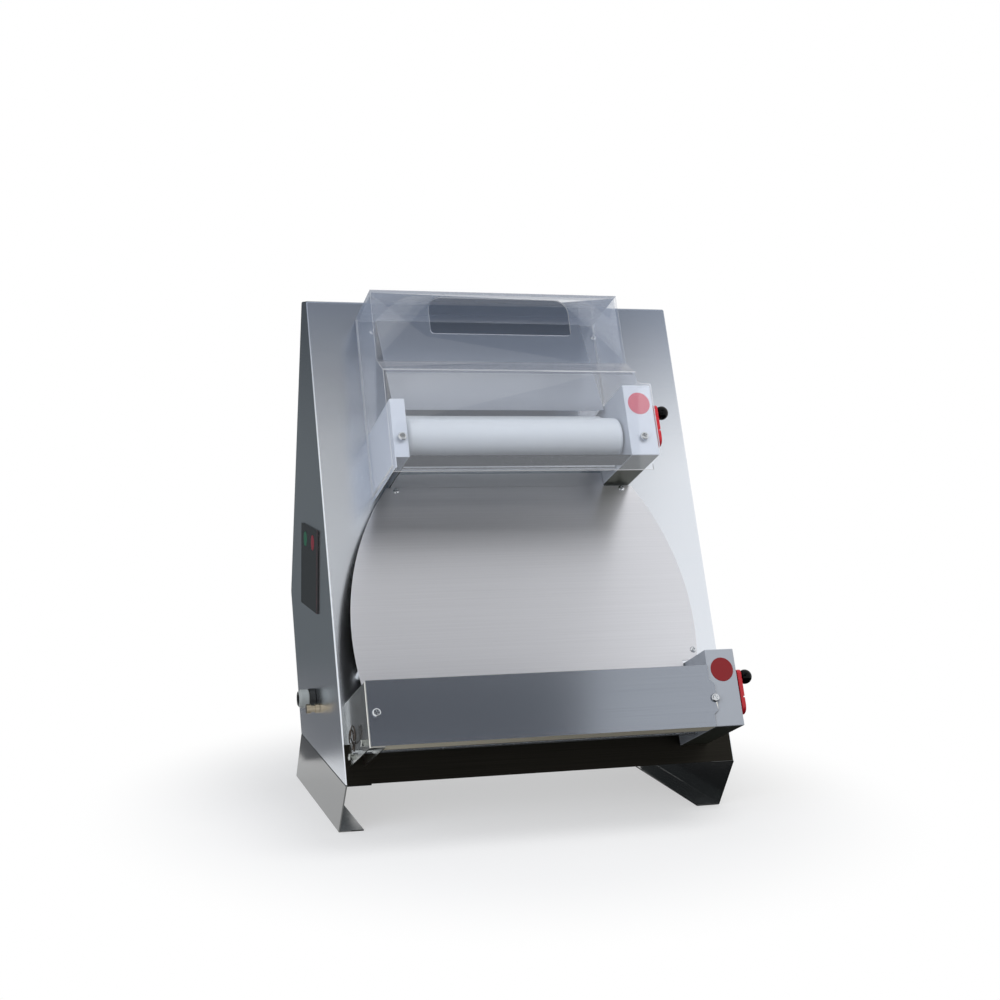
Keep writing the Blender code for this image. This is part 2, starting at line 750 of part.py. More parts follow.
def left_bracket(name, left, up, skirt, parent, screw_x, screw_up):
    """A sheet bracket, open towards the panel and below, whose outer wall hangs lower than the rest."""
    low = up - BRACKET_BELOW
    loop = rectangle(-END_OUT, low - skirt, -FIT_GAP, up + BRACKET_ABOVE)
    depths = (-CUT_OVERRUN, -CUT_OVERRUN, END_SHEET, END_SHEET)
    walls = (END_SHEET, END_SHEET)
    bracket = sheet_shell(name, loop, depths, left, left + BRACKET_WIDTH, walls, PANEL, CASE_PAINT)
    skirt_mesh = box_mesh(
        name + "_skirt",
        (left + END_SHEET + FIT_GAP, -END_OUT - CUT_OVERRUN, low - skirt - CUT_OVERRUN),
        (left + BRACKET_WIDTH + CUT_OVERRUN, CUT_OVERRUN, low),
    )
    cut(bracket, add_object(name + "_skirt", skirt_mesh, PANEL))
    inner = left + BRACKET_WIDTH - END_SHEET / 2
    cut(bracket, end_holes(name + "_holes", inner, parent))
    return cut(bracket, front_hole(name + "_screw", screw_x, screw_up))


def gear_case(name, left, up, parent, screw_x, screw_up):
    """A sheet box round the gears, open towards the panel."""
    loop = rectangle(-END_OUT, up - CASE_BELOW, -FIT_GAP, up + CASE_ABOVE)
    depths = (END_SHEET, -CUT_OVERRUN, END_SHEET, END_SHEET)
    walls = (END_SHEET, END_SHEET)
    case = sheet_shell(name, loop, depths, left, left + CASE_WIDTH, walls, PANEL, CASE_PAINT)
    cut(case, end_holes(name + "_holes", left + END_SHEET / 2, parent))
    right = left + CASE_WIDTH
    crank = rod_mesh(name + "_crank", CRANK_RADIUS + FIT_GAP, right - 2 * END_SHEET, right + END_SHEET)
    cut(case, add_object(name + "_crank", crank, parent, (0, -CRANK_AHEAD, 0)))
    return cut(case, front_hole(name + "_screw", screw_x, screw_up))


def crank_throw():
    """Distance of the crank pin from the crank's axis that moves the roller by its opening."""
    return ROLLER_OPENING / (2 * sin(LEVER_TURN / 2))


def crank_pin_place():
    """The crank pin at rest in a roller frame, with the rollers closed."""
    throw = crank_throw()
    return -CRANK_AHEAD + throw * sin(LEVER_TURN / 2), throw * cos(LEVER_TURN / 2)


def block_start(left):
    """Left face of the bearing block in a gear case, next to the gear."""
    return left + END_SHEET + GEAR_SIDE_SPACE + GEAR_WIDTH + GEAR_SIDE_SPACE


def bearing_block(name, x, parent, with_slot):
    """A sliding block with the front shaft's bore and, on the right, the crank pin's slot."""
    bore = SHAFT_RADIUS + FIT_GAP
    half = bore + BLOCK_WALL
    pin_y, _ = crank_pin_place()
    slot_half = CRANK_PIN_RADIUS + FIT_GAP
    throw = crank_throw()
    front = pin_y - slot_half - BLOCK_WALL if with_slot else -half
    loops = [rectangle(front, -half, half, half), circle((0, 0), bore, SMALL_STEPS)]
    if with_slot:
        low = throw * cos(LEVER_TURN / 2) - slot_half
        loops.append(rectangle(pin_y - slot_half, low, pin_y + slot_half, throw + slot_half))
    mesh = flat_mesh(name, loops, BLOCK_WIDTH, SIDE_TURN)
    return add_object(name, mesh, parent, (x + BLOCK_WIDTH / 2, 0, 0), BRIGHT_STEEL)


def crank_shaft(name, left, parent):
    """The lever's shaft with its disc and the offset pin that moves the bearing block."""
    right = left + CASE_WIDTH
    disc_end = right - END_SHEET - FIT_GAP
    disc_start = disc_end - CRANK_DISC_WIDTH
    end = right + LEVER_SPACE + LEVER_THICKNESS
    profile = [
        (0, end),
        (CRANK_RADIUS, end),
        (CRANK_RADIUS, disc_end),
        (CRANK_DISC_RADIUS, disc_end),
        (CRANK_DISC_RADIUS, disc_start),
        (0, disc_start),
    ]
    shaft = turned(name, profile, SMALL_STEPS, parent, (0, -CRANK_AHEAD, 0), DARK_STEEL)
    pin = rod_mesh(name + "_pin", CRANK_PIN_RADIUS, block_start(left) + FIT_GAP, disc_start + FIT_GAP, 16)
    return join(shaft, add_object(name + "_pin", pin, parent, (0, *crank_pin_place())))


def lever(name, left, parent):
    """A flat red lever: round hub, straight arm, and a groove across its outer face above the hub."""
    start = left + CASE_WIDTH + LEVER_SPACE
    half = LEVER_WIDTH / 2
    hub = arc((0, 0), half, pi, 2 * pi, 10)
    head_round = half / 2
    head = arc((half - head_round, LEVER_RISE - head_round), head_round, 0, pi / 2, 4)
    head += arc((-half + head_round, LEVER_RISE - head_round), head_round, pi / 2, pi, 4)
    mesh = flat_mesh(name, [hub + head, circle((0, 0), CRANK_RADIUS + FIT_GAP)], LEVER_THICKNESS, SIDE_TURN)
    middle = start + LEVER_THICKNESS / 2
    arm = add_object(name, mesh, parent, (middle, -CRANK_AHEAD, 0), RED_PAINT, (-PANEL_TILT, 0, 0))
    depth = LEVER_THICKNESS / 3
    groove_up = CRANK_RADIUS + BLOCK_WALL
    outer = LEVER_THICKNESS / 2
    low = (outer - depth, -half - depth, groove_up)
    high = (outer + depth, half + depth, groove_up + depth)
    groove = box_mesh(name + "_groove", low, high)
    turn = (-PANEL_TILT, 0, 0)
    return cut(arm, add_object(name + "_groove", groove, parent, (middle, -CRANK_AHEAD, 0), None, turn))


def knob(name, left, parent):
    """A ball knob with a small flat that seats on the lever."""
    face = left + CASE_WIDTH + LEVER_SPACE + LEVER_THICKNESS + FIT_GAP
    start = acos(KNOB_FLAT_RADIUS / KNOB_RADIUS)
    low = sin(start) * KNOB_RADIUS
    steps = 12
    profile = arc((0, 0), KNOB_RADIUS, pi / 2, -start, steps)
    profile = [(0, KNOB_RADIUS)] + profile[1:] + [(0, -low)]
    y, z = -CRANK_AHEAD + KNOB_UP * sin(PANEL_TILT), KNOB_UP * cos(PANEL_TILT)
    return turned(name, profile, 24, parent, (face + low, y, z), BLACK_PLASTIC)


def scraper(name, start, left, right, parent):
    """A rod with a blade that runs forward under the roller and ends close to its surface."""
    place = scraper_place()
    end = right + END_SHEET / 2
    rod_body = rod_mesh(name, SCRAPER_ROD_RADIUS, start, end, 12)
    rod = add_object(name, rod_body, parent, (0, *place), BRIGHT_STEEL)
    sheet, reach, rise = SCRAPER_SHEET, SCRAPER_BLADE_REACH, SCRAPER_BLADE_RISE
    section = [(0, -sheet), (reach, rise - sheet), (reach, rise), (0, sheet)]
    loop = [in_roller_frame(out, up) for out, up in section]
    blade_left, blade_right = left + ROLLER_END_SPACE, right - ROLLER_END_SPACE
    blade = flat_mesh(name + "_blade", [loop], blade_right - blade_left, SIDE_TURN)
    middle = (blade_left + blade_right) / 2
    return join(rod, add_object(name + "_blade", blade, parent, (middle, *place)))


def roller_assembly(level, left, right, up, skirt, parent, screws, scraper_start):
    """All pieces of one pair of rollers: ends, rollers, shafts, gears, blocks, crank, lever and scrapers."""
    inner_left = left + BRACKET_WIDTH
    rear = axis_distance()
    front_phase, rear_phase, drive_phase = gear_phases()
    (left_x, left_up), (right_x, right_up) = screws
    left_bracket(level + "_left_bracket", left, up, skirt, parent, left_x, left_up)
    gear_case(level + "_gear_case", right, up, parent, right_x, right_up)
    roller(level + "_front_roller", inner_left, right, parent, 0)
    roller(level + "_rear_roller", inner_left, right, parent, rear)
    shaft_start = left + END_SHEET + ROLLER_END_SPACE
    front_end = block_start(right) + BLOCK_WIDTH
    rear_end = right + CASE_WIDTH - END_SHEET - FIT_GAP
    for name, end, depth in (("front", front_end, 0), ("rear", rear_end, rear)):
        mesh = rod_mesh(f"{level}_{name}_shaft", SHAFT_RADIUS, shaft_start, end)
        add_object(f"{level}_{name}_shaft", mesh, parent, (0, depth, 0), DARK_STEEL)
    gear_x = right + END_SHEET + GEAR_SIDE_SPACE
    gear(level + "_front_gear", ROLLER_TEETH, front_phase, SHAFT_RADIUS, gear_x, parent, (0, 0), DARK_STEEL)
    gear(level + "_rear_gear", ROLLER_TEETH, rear_phase, SHAFT_RADIUS, gear_x, parent, (rear, 0), DARK_STEEL)
    bore = DRIVE_SHAFT_RADIUS
    gear(level + "_drive_gear", DRIVE_TEETH, drive_phase, bore, gear_x, parent, drive_place(), DARK_STEEL)
    left_block = left + (BRACKET_WIDTH - BLOCK_WIDTH) / 2
    bearing_block(level + "_left_block", left_block, parent, False)
    bearing_block(level + "_right_block", block_start(right), parent, True)
    crank_shaft(level + "_crank_shaft", right, parent)
    lever(level + "_lever", right, parent)
    knob(level + "_knob", right, parent)
    scraper(level + "_scraper", scraper_start, inner_left, right, parent)


# Spring, screws, hood, infeed plate and front cover

def spring_path():
    """A leg from the bolt, two loops side by side, and a leg that hooks on the scraper's rod."""
    x = LOWER_LEFT - FIT_GAP - SPRING_WIRE_RADIUS
    points = []
    loops = ((SPRING_REAR_OUT, -pi / 4, 3 * pi / 2), (SPRING_FRONT_OUT, -pi / 2, 5 * pi / 4))
    for i, (middle, start, end) in enumerate(loops):
        ring = arc((middle, SPRING_UP), SPRING_RADIUS, start, end, 9)
        for j, (out, up) in enumerate(ring):
            points.append((x - SPRING_PITCH * (i + j / 9), out, up))
    first, last = points[0], points[-1]
    leg = SPRING_LEG * cos(pi / 4)
    rod_out = ROLLER_OUT - SCRAPER_ROD_BEHIND
    rod_up = LOWER_ROLLER_UP - SCRAPER_ROD_DROP
    hook = rod_out + SCRAPER_ROD_RADIUS + FIT_GAP + SPRING_WIRE_RADIUS
    start_leg = (first[0], first[1] - leg, first[2] - leg)
    end_leg = (last[0], last[1] + leg, last[2] - leg)
    return [start_leg] + points + [end_leg, (last[0], hook, rod_up)]


def least_self_gap(points, radius):
    """Smallest clear distance between stretches of the wire that lie more than a third of a turn apart."""
    gaps = []
    fine = []
    for start, end in zip(points, points[1:]):
        fine += [Vector(start).lerp(Vector(end), i / 8) for i in range(8)]
    for i, first in enumerate(fine):
        for other in fine[i + 24:]:
            gaps.append((first - other).length - 2 * radius)
    return min(gaps)


def scraper_spring():
    points = spring_path()
    curve = bpy.data.curves.new("scraper_spring", "CURVE")
    curve.dimensions = "3D"
    curve.bevel_depth = SPRING_WIRE_RADIUS
    curve.bevel_resolution = 1
    curve.use_fill_caps = True
    spline = curve.splines.new("POLY")
    spline.points.add(len(points) - 1)
    for point, (x, out, up) in zip(spline.points, points):
        point.co = (x, -out, up, 1)
    gap = least_self_gap(points, SPRING_WIRE_RADIUS)
    print("scraper_spring least gap to itself, mm:", round(gap * 1000, 2))
    curve.materials.append(DARK_STEEL)
    spring = bpy.data.objects.new("scraper_spring", curve)
    spring.parent = PANEL
    PARTS.objects.link(spring)
    return spring


def lower_bracket_fittings(bracket):
    """The bolts on the lower left bracket's outer wall, and the hole there for the scraper's rod."""
    wall = LOWER_LEFT + END_SHEET / 2
    for name, out, up in (
        ("rear_bolt", REAR_BOLT_OUT, REAR_BOLT_UP),
        ("front_bolt", FRONT_BOLT_OUT, FRONT_BOLT_UP),
    ):
        mesh = rod_mesh(name, BRACKET_BOLT_RADIUS, LOWER_LEFT - BRACKET_BOLT_HEAD, wall, 6)
        join(bracket, add_object(name, mesh, PANEL, (0, -out, up)))
    hole = circle(scraper_place(), SCRAPER_ROD_RADIUS + FIT_GAP, 12)
    start, end = LOWER_LEFT - END_SHEET, LOWER_LEFT + 2 * END_SHEET
    return cut(bracket, side_prism("rod_hole", [hole], start, end, LOWER))


def screw(name, x, up, out, length):
    """A round-headed screw on a front face."""
    crown = arc((0, 0), SCREW_HEAD_RISE, pi / 2, 0, 3)
    width = SCREW_HEAD_RADIUS - SCREW_HEAD_RISE
    profile = [(0, SCREW_HEAD_RISE)] + [(width + r, along) for r, along in crown]
    profile += [(SCREW_RADIUS, 0), (SCREW_RADIUS, -length), (0, -length)]
    obj = turned(name, profile, 16, PANEL, (x, -out - FIT_GAP, up), BRIGHT_STEEL)
    obj.rotation_euler = (pi / 2, 0, 0)
    return obj


def hood_faces():
    """How far out the hood's lower front plate lies: its inner and its outer face."""
    inner = END_OUT + HOOD_FRONT_SPACE
    return inner, inner + HOOD_SHEET


def feed_slot():
    """The hand slot in the hood's upper front, wide rounded at the top and tight at the bottom."""
    top, low = SLOT_TOP_UP - SLOT_TOP_ROUND, SLOT_LOW_UP + SLOT_LOW_ROUND
    loop = arc((SLOT_RIGHT - SLOT_TOP_ROUND, top), SLOT_TOP_ROUND, 0, pi / 2, 6)
    loop += arc((SLOT_LEFT + SLOT_TOP_ROUND, top), SLOT_TOP_ROUND, pi / 2, pi, 6)
    loop += arc((SLOT_LEFT + SLOT_LOW_ROUND, low), SLOT_LOW_ROUND, pi, 1.5 * pi, 3)
    loop += arc((SLOT_RIGHT - SLOT_LOW_ROUND, low), SLOT_LOW_ROUND, 1.5 * pi, 2 * pi, 3)
    mesh = flat_mesh("feed_slot", [loop], 2 * CUT_OVERRUN + HOOD_SHEET, FRONT_TURN)
    return add_object("feed_slot", mesh, PANEL, (0, -HOOD_TOP_OUT + HOOD_SHEET / 2, 0))


def hood_front():
    """The lower front plate, which widens over the gear case with a curved shoulder."""
    inner, outer = hood_faces()
    drop = (HOOD_JOG_LOW_UP - HOOD_SHOULDER_UP) / 2
    curve = arc((HOOD_RIGHT + drop, HOOD_SHOULDER_UP + drop), drop, pi, 1.5 * pi, 6)
    corner = HOOD_FOLD / 2
    step = HOOD_WING_RIGHT - HOOD_TAB_RIGHT
    loop = [(HOOD_LEFT + FIT_GAP, HOOD_LIP_UP), (HOOD_TAB_RIGHT, HOOD_LIP_UP), (HOOD_TAB_RIGHT, HOOD_TAB_UP)]
    loop += [(HOOD_WING_RIGHT, HOOD_TAB_UP + step)]
    loop += arc((HOOD_WING_RIGHT - corner, HOOD_SHOULDER_UP - corner), corner, 0, pi / 2, 4)
    loop += curve[::-1]
    top = HOOD_JOG_LOW_UP + HOOD_SHEET / 2
    loop += [(HOOD_RIGHT - FIT_GAP, top), (HOOD_LEFT + FIT_GAP, top)]
    mesh = flat_mesh("hood_front", [loop], HOOD_SHEET, FRONT_TURN)
    return add_object("hood_front", mesh, PANEL, (0, -(inner + outer) / 2, 0))


def hood_side_cut(name, left, right, up):
    """Takes a side wall away below the given height."""
    _, outer = hood_faces()
    mesh = box_mesh(name, (left, -outer, HOOD_LIP_UP - 2 * CUT_OVERRUN), (right, CUT_OVERRUN, up))
    return add_object(name, mesh, PANEL)


def hood_hollow(seam):
    """The space inside the folded hood, open towards the panel and at the bottom."""
    fall = (HOOD_JOG_LOW_UP - HOOD_JOG_TOP_UP) / (seam - HOOD_TOP_OUT)
    drop = HOOD_SHEET * hypot(1, fall)
    deep = HOOD_TOP_OUT - HOOD_SHEET
    far = seam + CUT_OVERRUN
    loop = [
        (CUT_OVERRUN, HOOD_LIP_UP - 2 * CUT_OVERRUN),
        (-far, HOOD_LIP_UP - 2 * CUT_OVERRUN),
        (-far, HOOD_JOG_TOP_UP + fall * (far - HOOD_TOP_OUT) - drop),
        (-deep, HOOD_JOG_TOP_UP - fall * HOOD_SHEET - drop),
        (-deep, HOOD_TOP_UP - HOOD_SHEET),
        (CUT_OVERRUN, HOOD_TOP_UP - HOOD_SHEET),
    ]
    mesh = flat_mesh("hood_hollow", [loop], HOOD_RIGHT - HOOD_LEFT - 2 * HOOD_SHEET, SIDE_TURN)
    return add_object("hood_hollow", mesh, PANEL, ((HOOD_LEFT + HOOD_RIGHT) / 2, 0, 0))


def infeed_ends():
    return UPPER_LEFT + BRACKET_WIDTH + ROLLER_END_SPACE, UPPER_RIGHT - ROLLER_END_SPACE


def hood_notch():
    """Room for the infeed plate's hem in the back edge of the hood's top."""
    left, right = infeed_ends()
    low = (left - FIT_GAP, -INFEED_TOP_OUT - INFEED_SHEET, HOOD_TOP_UP - HOOD_SHEET - CUT_OVERRUN)
    high = (right + FIT_GAP, CUT_OVERRUN, HOOD_TOP_UP + CUT_OVERRUN)
    return add_object("hood_notch", box_mesh("hood_notch", low, high), PANEL)


def hood():
    """Clear cover: folded shell over the infeed, lower front plate over the rollers."""
    inner, outer = hood_faces()
    seam = (inner + outer) / 2
    loop = [
        (-FIT_GAP, HOOD_LIP_UP - CUT_OVERRUN),
        (-seam, HOOD_LIP_UP - CUT_OVERRUN),
        (-seam, HOOD_JOG_LOW_UP),
        (-HOOD_TOP_OUT, HOOD_JOG_TOP_UP),
        (-HOOD_TOP_OUT, HOOD_TOP_UP),
        (-FIT_GAP, HOOD_TOP_UP),
    ]
    mesh = flat_mesh("hood", [loop], HOOD_RIGHT - HOOD_LEFT, SIDE_TURN)
    shell = add_object("hood", mesh, PANEL, ((HOOD_LEFT + HOOD_RIGHT) / 2, 0, 0), CLEAR_PLASTIC)
    left_low = UPPER_ROLLER_UP - BRACKET_BELOW - UPPER_SKIRT + HOOD_SHEET
    right_low = UPPER_ROLLER_UP + CASE_ABOVE + HOOD_SHEET / 2
    cut(
        shell,
        hood_hollow(seam),
        hood_side_cut("hood_left_cut", HOOD_LEFT - CUT_OVERRUN, HOOD_LEFT + CUT_OVERRUN, left_low),
        hood_side_cut("hood_right_cut", HOOD_RIGHT - CUT_OVERRUN, HOOD_RIGHT + CUT_OVERRUN, right_low),
        hood_notch(),
        feed_slot(),
    )
    join(shell, hood_front())
    return cut(
        shell,
        hood_screw_hole("hood_hole_left", UPPER_SCREW_LEFT),
        hood_screw_hole("hood_hole_right", UPPER_SCREW_RIGHT),
    )


def hood_screw_hole(name, x):
    inner, outer = hood_faces()
    mesh = rod_mesh(name, SCREW_RADIUS + FIT_GAP, inner - CUT_OVERRUN, outer + CUT_OVERRUN, 12)
    return add_object(name, mesh, PANEL, (x, 0, UPPER_SCREW_UP), None, (0, 0, -pi / 2))


def infeed_plate():
    """A straight chute from the top of the panel to the nip, with a hem along its top edge."""
    length = hypot(INFEED_TOP_UP - INFEED_LOW_UP, INFEED_LOW_OUT - INFEED_TOP_OUT)
    across = (INFEED_LOW_OUT - INFEED_TOP_OUT) / length * INFEED_SHEET
    along = (INFEED_TOP_UP - INFEED_LOW_UP) / length * INFEED_SHEET
    loop = [
        (-INFEED_TOP_OUT, INFEED_TOP_UP),
        (-INFEED_TOP_OUT, INFEED_TOP_UP - INFEED_HEM),
        (-INFEED_LOW_OUT, INFEED_LOW_UP),
        (-INFEED_LOW_OUT + along, INFEED_LOW_UP - across),
        (-INFEED_TOP_OUT + along, INFEED_TOP_UP - INFEED_HEM - across),
        (-INFEED_TOP_OUT + INFEED_SHEET, INFEED_TOP_UP),
    ]
    left, right = infeed_ends()
    return side_prism("infeed_plate", [loop], left, right, PANEL, STEEL)


def front_cover():
    """The brushed cover over the lower pair, hemmed at the top and bottom, with a tab over the gear case."""
    low, high = LOWER_ROLLER_UP - COVER_LOW, LOWER_ROLLER_UP + COVER_HIGH
    face = END_OUT + COVER_SPACE
    left, right = LOWER_LEFT + BODY_SHEET, LOWER_RIGHT - FIT_GAP
    inner_left = LOWER_LEFT + BRACKET_WIDTH + FIT_GAP
    hem_low = (inner_left, -face - COVER_SHEET / 2, low + FIT_GAP)
    hem_high = (right - FIT_GAP, -face + COVER_HEM, low + FIT_GAP + COVER_SHEET)
    tab_top, tab_low = high - COVER_TAB_TOP, low + COVER_TAB_LOW - COVER_TAB_STEP
    tab = right + COVER_TAB_OUT
    plate_loop = [
        (left, low),
        (right, low),
        (right, tab_low),
        (tab, tab_low + COVER_TAB_STEP),
        (tab, tab_top - COVER_TAB_STEP),
        (right, tab_top),
        (right, high),
        (left, high),
    ]
    plate = flat_mesh("front_cover", [plate_loop], COVER_SHEET, FRONT_TURN)
    cover = add_object("front_cover", plate, PANEL, (0, -face - COVER_SHEET / 2, 0), STEEL)
    join(cover, add_object("cover_hem", box_mesh("cover_hem", hem_low, hem_high), PANEL))
    holes = []
    for name, x, up in (
        ("cover_hole_left", COVER_SCREW_LEFT, COVER_SCREW_UP),
        ("cover_hole_right", COVER_SCREW_RIGHT, COVER_SCREW_RIGHT_UP),
    ):
        mesh = rod_mesh(name, SCREW_RADIUS + FIT_GAP, face - CUT_OVERRUN, face + CUT_OVERRUN, 12)
        holes.append(add_object(name, mesh, PANEL, (x, 0, up), None, (0, 0, -pi / 2)))
    return cut(cover, *holes)


# Controls and connections on the left side

def control_panel():
    low_back, high_back = CONTROL_FRONT, CONTROL_FRONT + CONTROL_WIDTH
    top = CONTROL_UP + CONTROL_HEIGHT
    key_up = top - KEY_DROP
    loops = [rectangle(low_back, CONTROL_UP, high_back, top)]
    loops += [circle((back, key_up), KEY_RADIUS + FIT_GAP, 24) for back in (START_KEY_BACK, STOP_KEY_BACK)]
    mesh = flat_mesh("control_panel", loops, CONTROL_SHEET, SIDE_TURN)
    x = -BODY_HALF - FIT_GAP - CONTROL_SHEET / 2
    return add_object("control_panel", mesh, ROOT, (x, 0, 0), BLACK_PLASTIC)


def key(name, back, material):
    up = CONTROL_UP + CONTROL_HEIGHT - KEY_DROP
    outer = -BODY_HALF - FIT_GAP - CONTROL_SHEET - KEY_RISE
    mesh = rod_mesh(name, KEY_RADIUS, 0, KEY_THICKNESS, 24)
    return add_object(name, mesh, ROOT, (outer, back, up), material)


def cable_gland():
    """The empty gland: dome nut, collar, and the thread that passes through the wall into its lock nut."""
    wall = -BODY_HALF
    inside = wall + BODY_SHEET + FIT_GAP
    dome = GLAND_RADIUS - GLAND_NECK_RADIUS
    profile = [
        (GLAND_BORE_RADIUS, inside + GLAND_INSIDE),
        (GLAND_THREAD_RADIUS, inside + GLAND_INSIDE),
        (GLAND_THREAD_RADIUS, wall - FIT_GAP),
        (GLAND_RADIUS, wall - FIT_GAP),
        (GLAND_RADIUS, wall - GLAND_COLLAR),
        (GLAND_NECK_RADIUS, wall - GLAND_COLLAR),
        (GLAND_NECK_RADIUS, wall - GLAND_COLLAR - dome / 2),
        (GLAND_RADIUS - dome / 4, wall - GLAND_COLLAR - dome / 2),
        (GLAND_RADIUS - dome / 4, wall - GLAND_REACH + dome),
        (GLAND_NECK_RADIUS, wall - GLAND_REACH),
        (GLAND_BORE_RADIUS, wall - GLAND_REACH),
    ]
    return turned("cable_gland", profile, 24, ROOT, (0, GLAND_BACK, GLAND_UP), GREY_PLASTIC, closed=True)


def equipotential_terminal():
    wall = -BODY_HALF
    inside = wall + BODY_SHEET + GLAND_INSIDE / 2
    waist = TERMINAL_RADIUS - TERMINAL_THREAD_RADIUS / 2
    near = wall - (TERMINAL_REACH - TERMINAL_GROOVE) / 2
    far = near - TERMINAL_GROOVE
    profile = [
        (0, inside),
        (TERMINAL_THREAD_RADIUS, inside),
        (TERMINAL_THREAD_RADIUS, wall - FIT_GAP),
        (TERMINAL_RADIUS, wall - FIT_GAP),
        (TERMINAL_RADIUS, near),
        (waist, near),
        (waist, far),
        (TERMINAL_RADIUS, far),
        (TERMINAL_RADIUS, wall - TERMINAL_REACH),
        (0, wall - TERMINAL_REACH),
    ]
    place = (0, TERMINAL_BACK, TERMINAL_UP)
    return turned("equipotential_terminal", profile, 20, ROOT, place, BRIGHT_STEEL)


# Drive inside the body

def pulley_profile(bore, radius, middle):
    half, rim = PULLEY_WIDTH / 2, PULLEY_RIM
    groove = BELT_WIDTH / 2 + FIT_GAP
    return [
        (bore, middle + half),
        (radius + rim, middle + half),
        (radius + rim, middle + groove),
        (radius, middle + groove),
        (radius, middle - groove),
        (radius + rim, middle - groove),
        (radius + rim, middle - half),
        (bore, middle - half),
    ]


def belt(name, parent, x, first, first_radius, second, second_radius):
    """A flat belt round two pulleys: straight runs on the outer tangents and arcs on the pulleys."""
    loops = []
    for extra in (FIT_GAP + BELT_THICKNESS, FIT_GAP):
        near, far = first_radius + extra, second_radius + extra
        run = Vector(second) - Vector(first)
        heading = atan2(run.y, run.x)
        spread = acos((near - far) / run.length)
        loop = arc(first, near, heading + spread, heading + 2 * pi - spread, SMALL_STEPS)
        loop += arc(second, far, heading - spread, heading + spread, SMALL_STEPS)
        loops.append(loop)
    mesh = flat_mesh(name, loops, BELT_WIDTH, SIDE_TURN)
    return add_object(name, mesh, parent, (x, 0, 0), RUBBER)


def drive_shaft(name, right, parent, pulleys):
    """A shaft inside the body that turns one pair, with the pulleys turned on it, right one first."""
    end = right + END_SHEET + GEAR_SIDE_SPACE + GEAR_WIDTH
    start = carrier_walls()[0] - CARRIER_SHEET / 2 - DRIVE_END
    profile = [(0, end), (DRIVE_SHAFT_RADIUS, end)]
    for middle, radius in pulleys:
        profile += pulley_profile(DRIVE_SHAFT_RADIUS, radius, middle)
    profile += [(DRIVE_SHAFT_RADIUS, start), (0, start)]
    return turned(name, profile, 28, parent, (0, *drive_place()), DARK_STEEL)


def carrier_walls():
    """Middles of the two walls that stand either side of the pulleys."""
    reach = PULLEY_WIDTH / 2 + GEAR_SIDE_SPACE + CARRIER_SHEET / 2
    return MOTOR_BELT_X - reach, TRANSFER_X + reach


def shaft_carrier(name, up):
    """A channel fixed behind the panel, with a wall on each side of the pulleys to hold the drive shaft."""
    depth = drive_depth()
    middle = rear_up(up)
    left, right = carrier_walls()
    half = CARRIER_HEIGHT / 2
    start = BODY_SHEET + FIT_GAP
    wall_loop = rectangle(start, middle - half, depth + CARRIER_TAIL, middle + half)
    hole = circle((depth, middle), DRIVE_SHAFT_RADIUS + FIT_GAP)
    flange = box_mesh(name, (left, start, middle - half), (right, start + CARRIER_SHEET, middle + half))
    carrier = add_object(name, flange, PANEL, (0, 0, 0), STEEL)
    for x in (left, right):
        wall = flat_mesh(name + "_wall", [wall_loop, hole], CARRIER_SHEET, SIDE_TURN)
        join(carrier, add_object(name + "_wall", wall, PANEL, (x, 0, 0)))
    return carrier


def motor_place():
    return MOTOR_BACK, BODY_BOTTOM + BASE_SHEET + FIT_GAP + MOTOR_FOOT + MOTOR_RADIUS


def motor():
    """The gear motor on its foot, with its shaft to the right."""
    front = MOTOR_BELT_X - PULLEY_WIDTH / 2 - 2 * GEAR_SIDE_SPACE
    neck = front - GEAR_SIDE_SPACE
    shaft_end = MOTOR_BELT_X + PULLEY_WIDTH / 2
    back, up = motor_place()
    profile = [
        (0, shaft_end),
        (MOTOR_SHAFT_RADIUS, shaft_end),
        (MOTOR_SHAFT_RADIUS, neck),
        (MOTOR_END_RADIUS, neck),
        (MOTOR_END_RADIUS, neck - MOTOR_END_LENGTH),
        (MOTOR_RADIUS, neck - MOTOR_END_LENGTH),
        (MOTOR_RADIUS, neck - MOTOR_LENGTH),
        (MOTOR_END_RADIUS, neck - MOTOR_LENGTH - MOTOR_END_LENGTH / 2),
        (0, neck - MOTOR_LENGTH - MOTOR_END_LENGTH / 2),
    ]
    body = turned("motor", profile, 28, ROOT, (0, back, up), MOTOR_GREY)
    foot_low = BODY_BOTTOM + BASE_SHEET + FIT_GAP
    foot_mesh = box_mesh(
        "motor_foot",
        (neck - MOTOR_LENGTH, back - MOTOR_END_RADIUS, foot_low),
        (neck - MOTOR_END_LENGTH - MOTOR_FOOT, back + MOTOR_END_RADIUS, up - MOTOR_RADIUS / 2),
    )
    join(body, add_object("motor_foot", foot_mesh, ROOT))
    profile = pulley_profile(MOTOR_SHAFT_RADIUS + FIT_GAP, MOTOR_PULLEY_RADIUS, MOTOR_BELT_X)
    turned("motor_pulley", profile, 24, ROOT, (0, back, up), DARK_STEEL, closed=True)
    return body


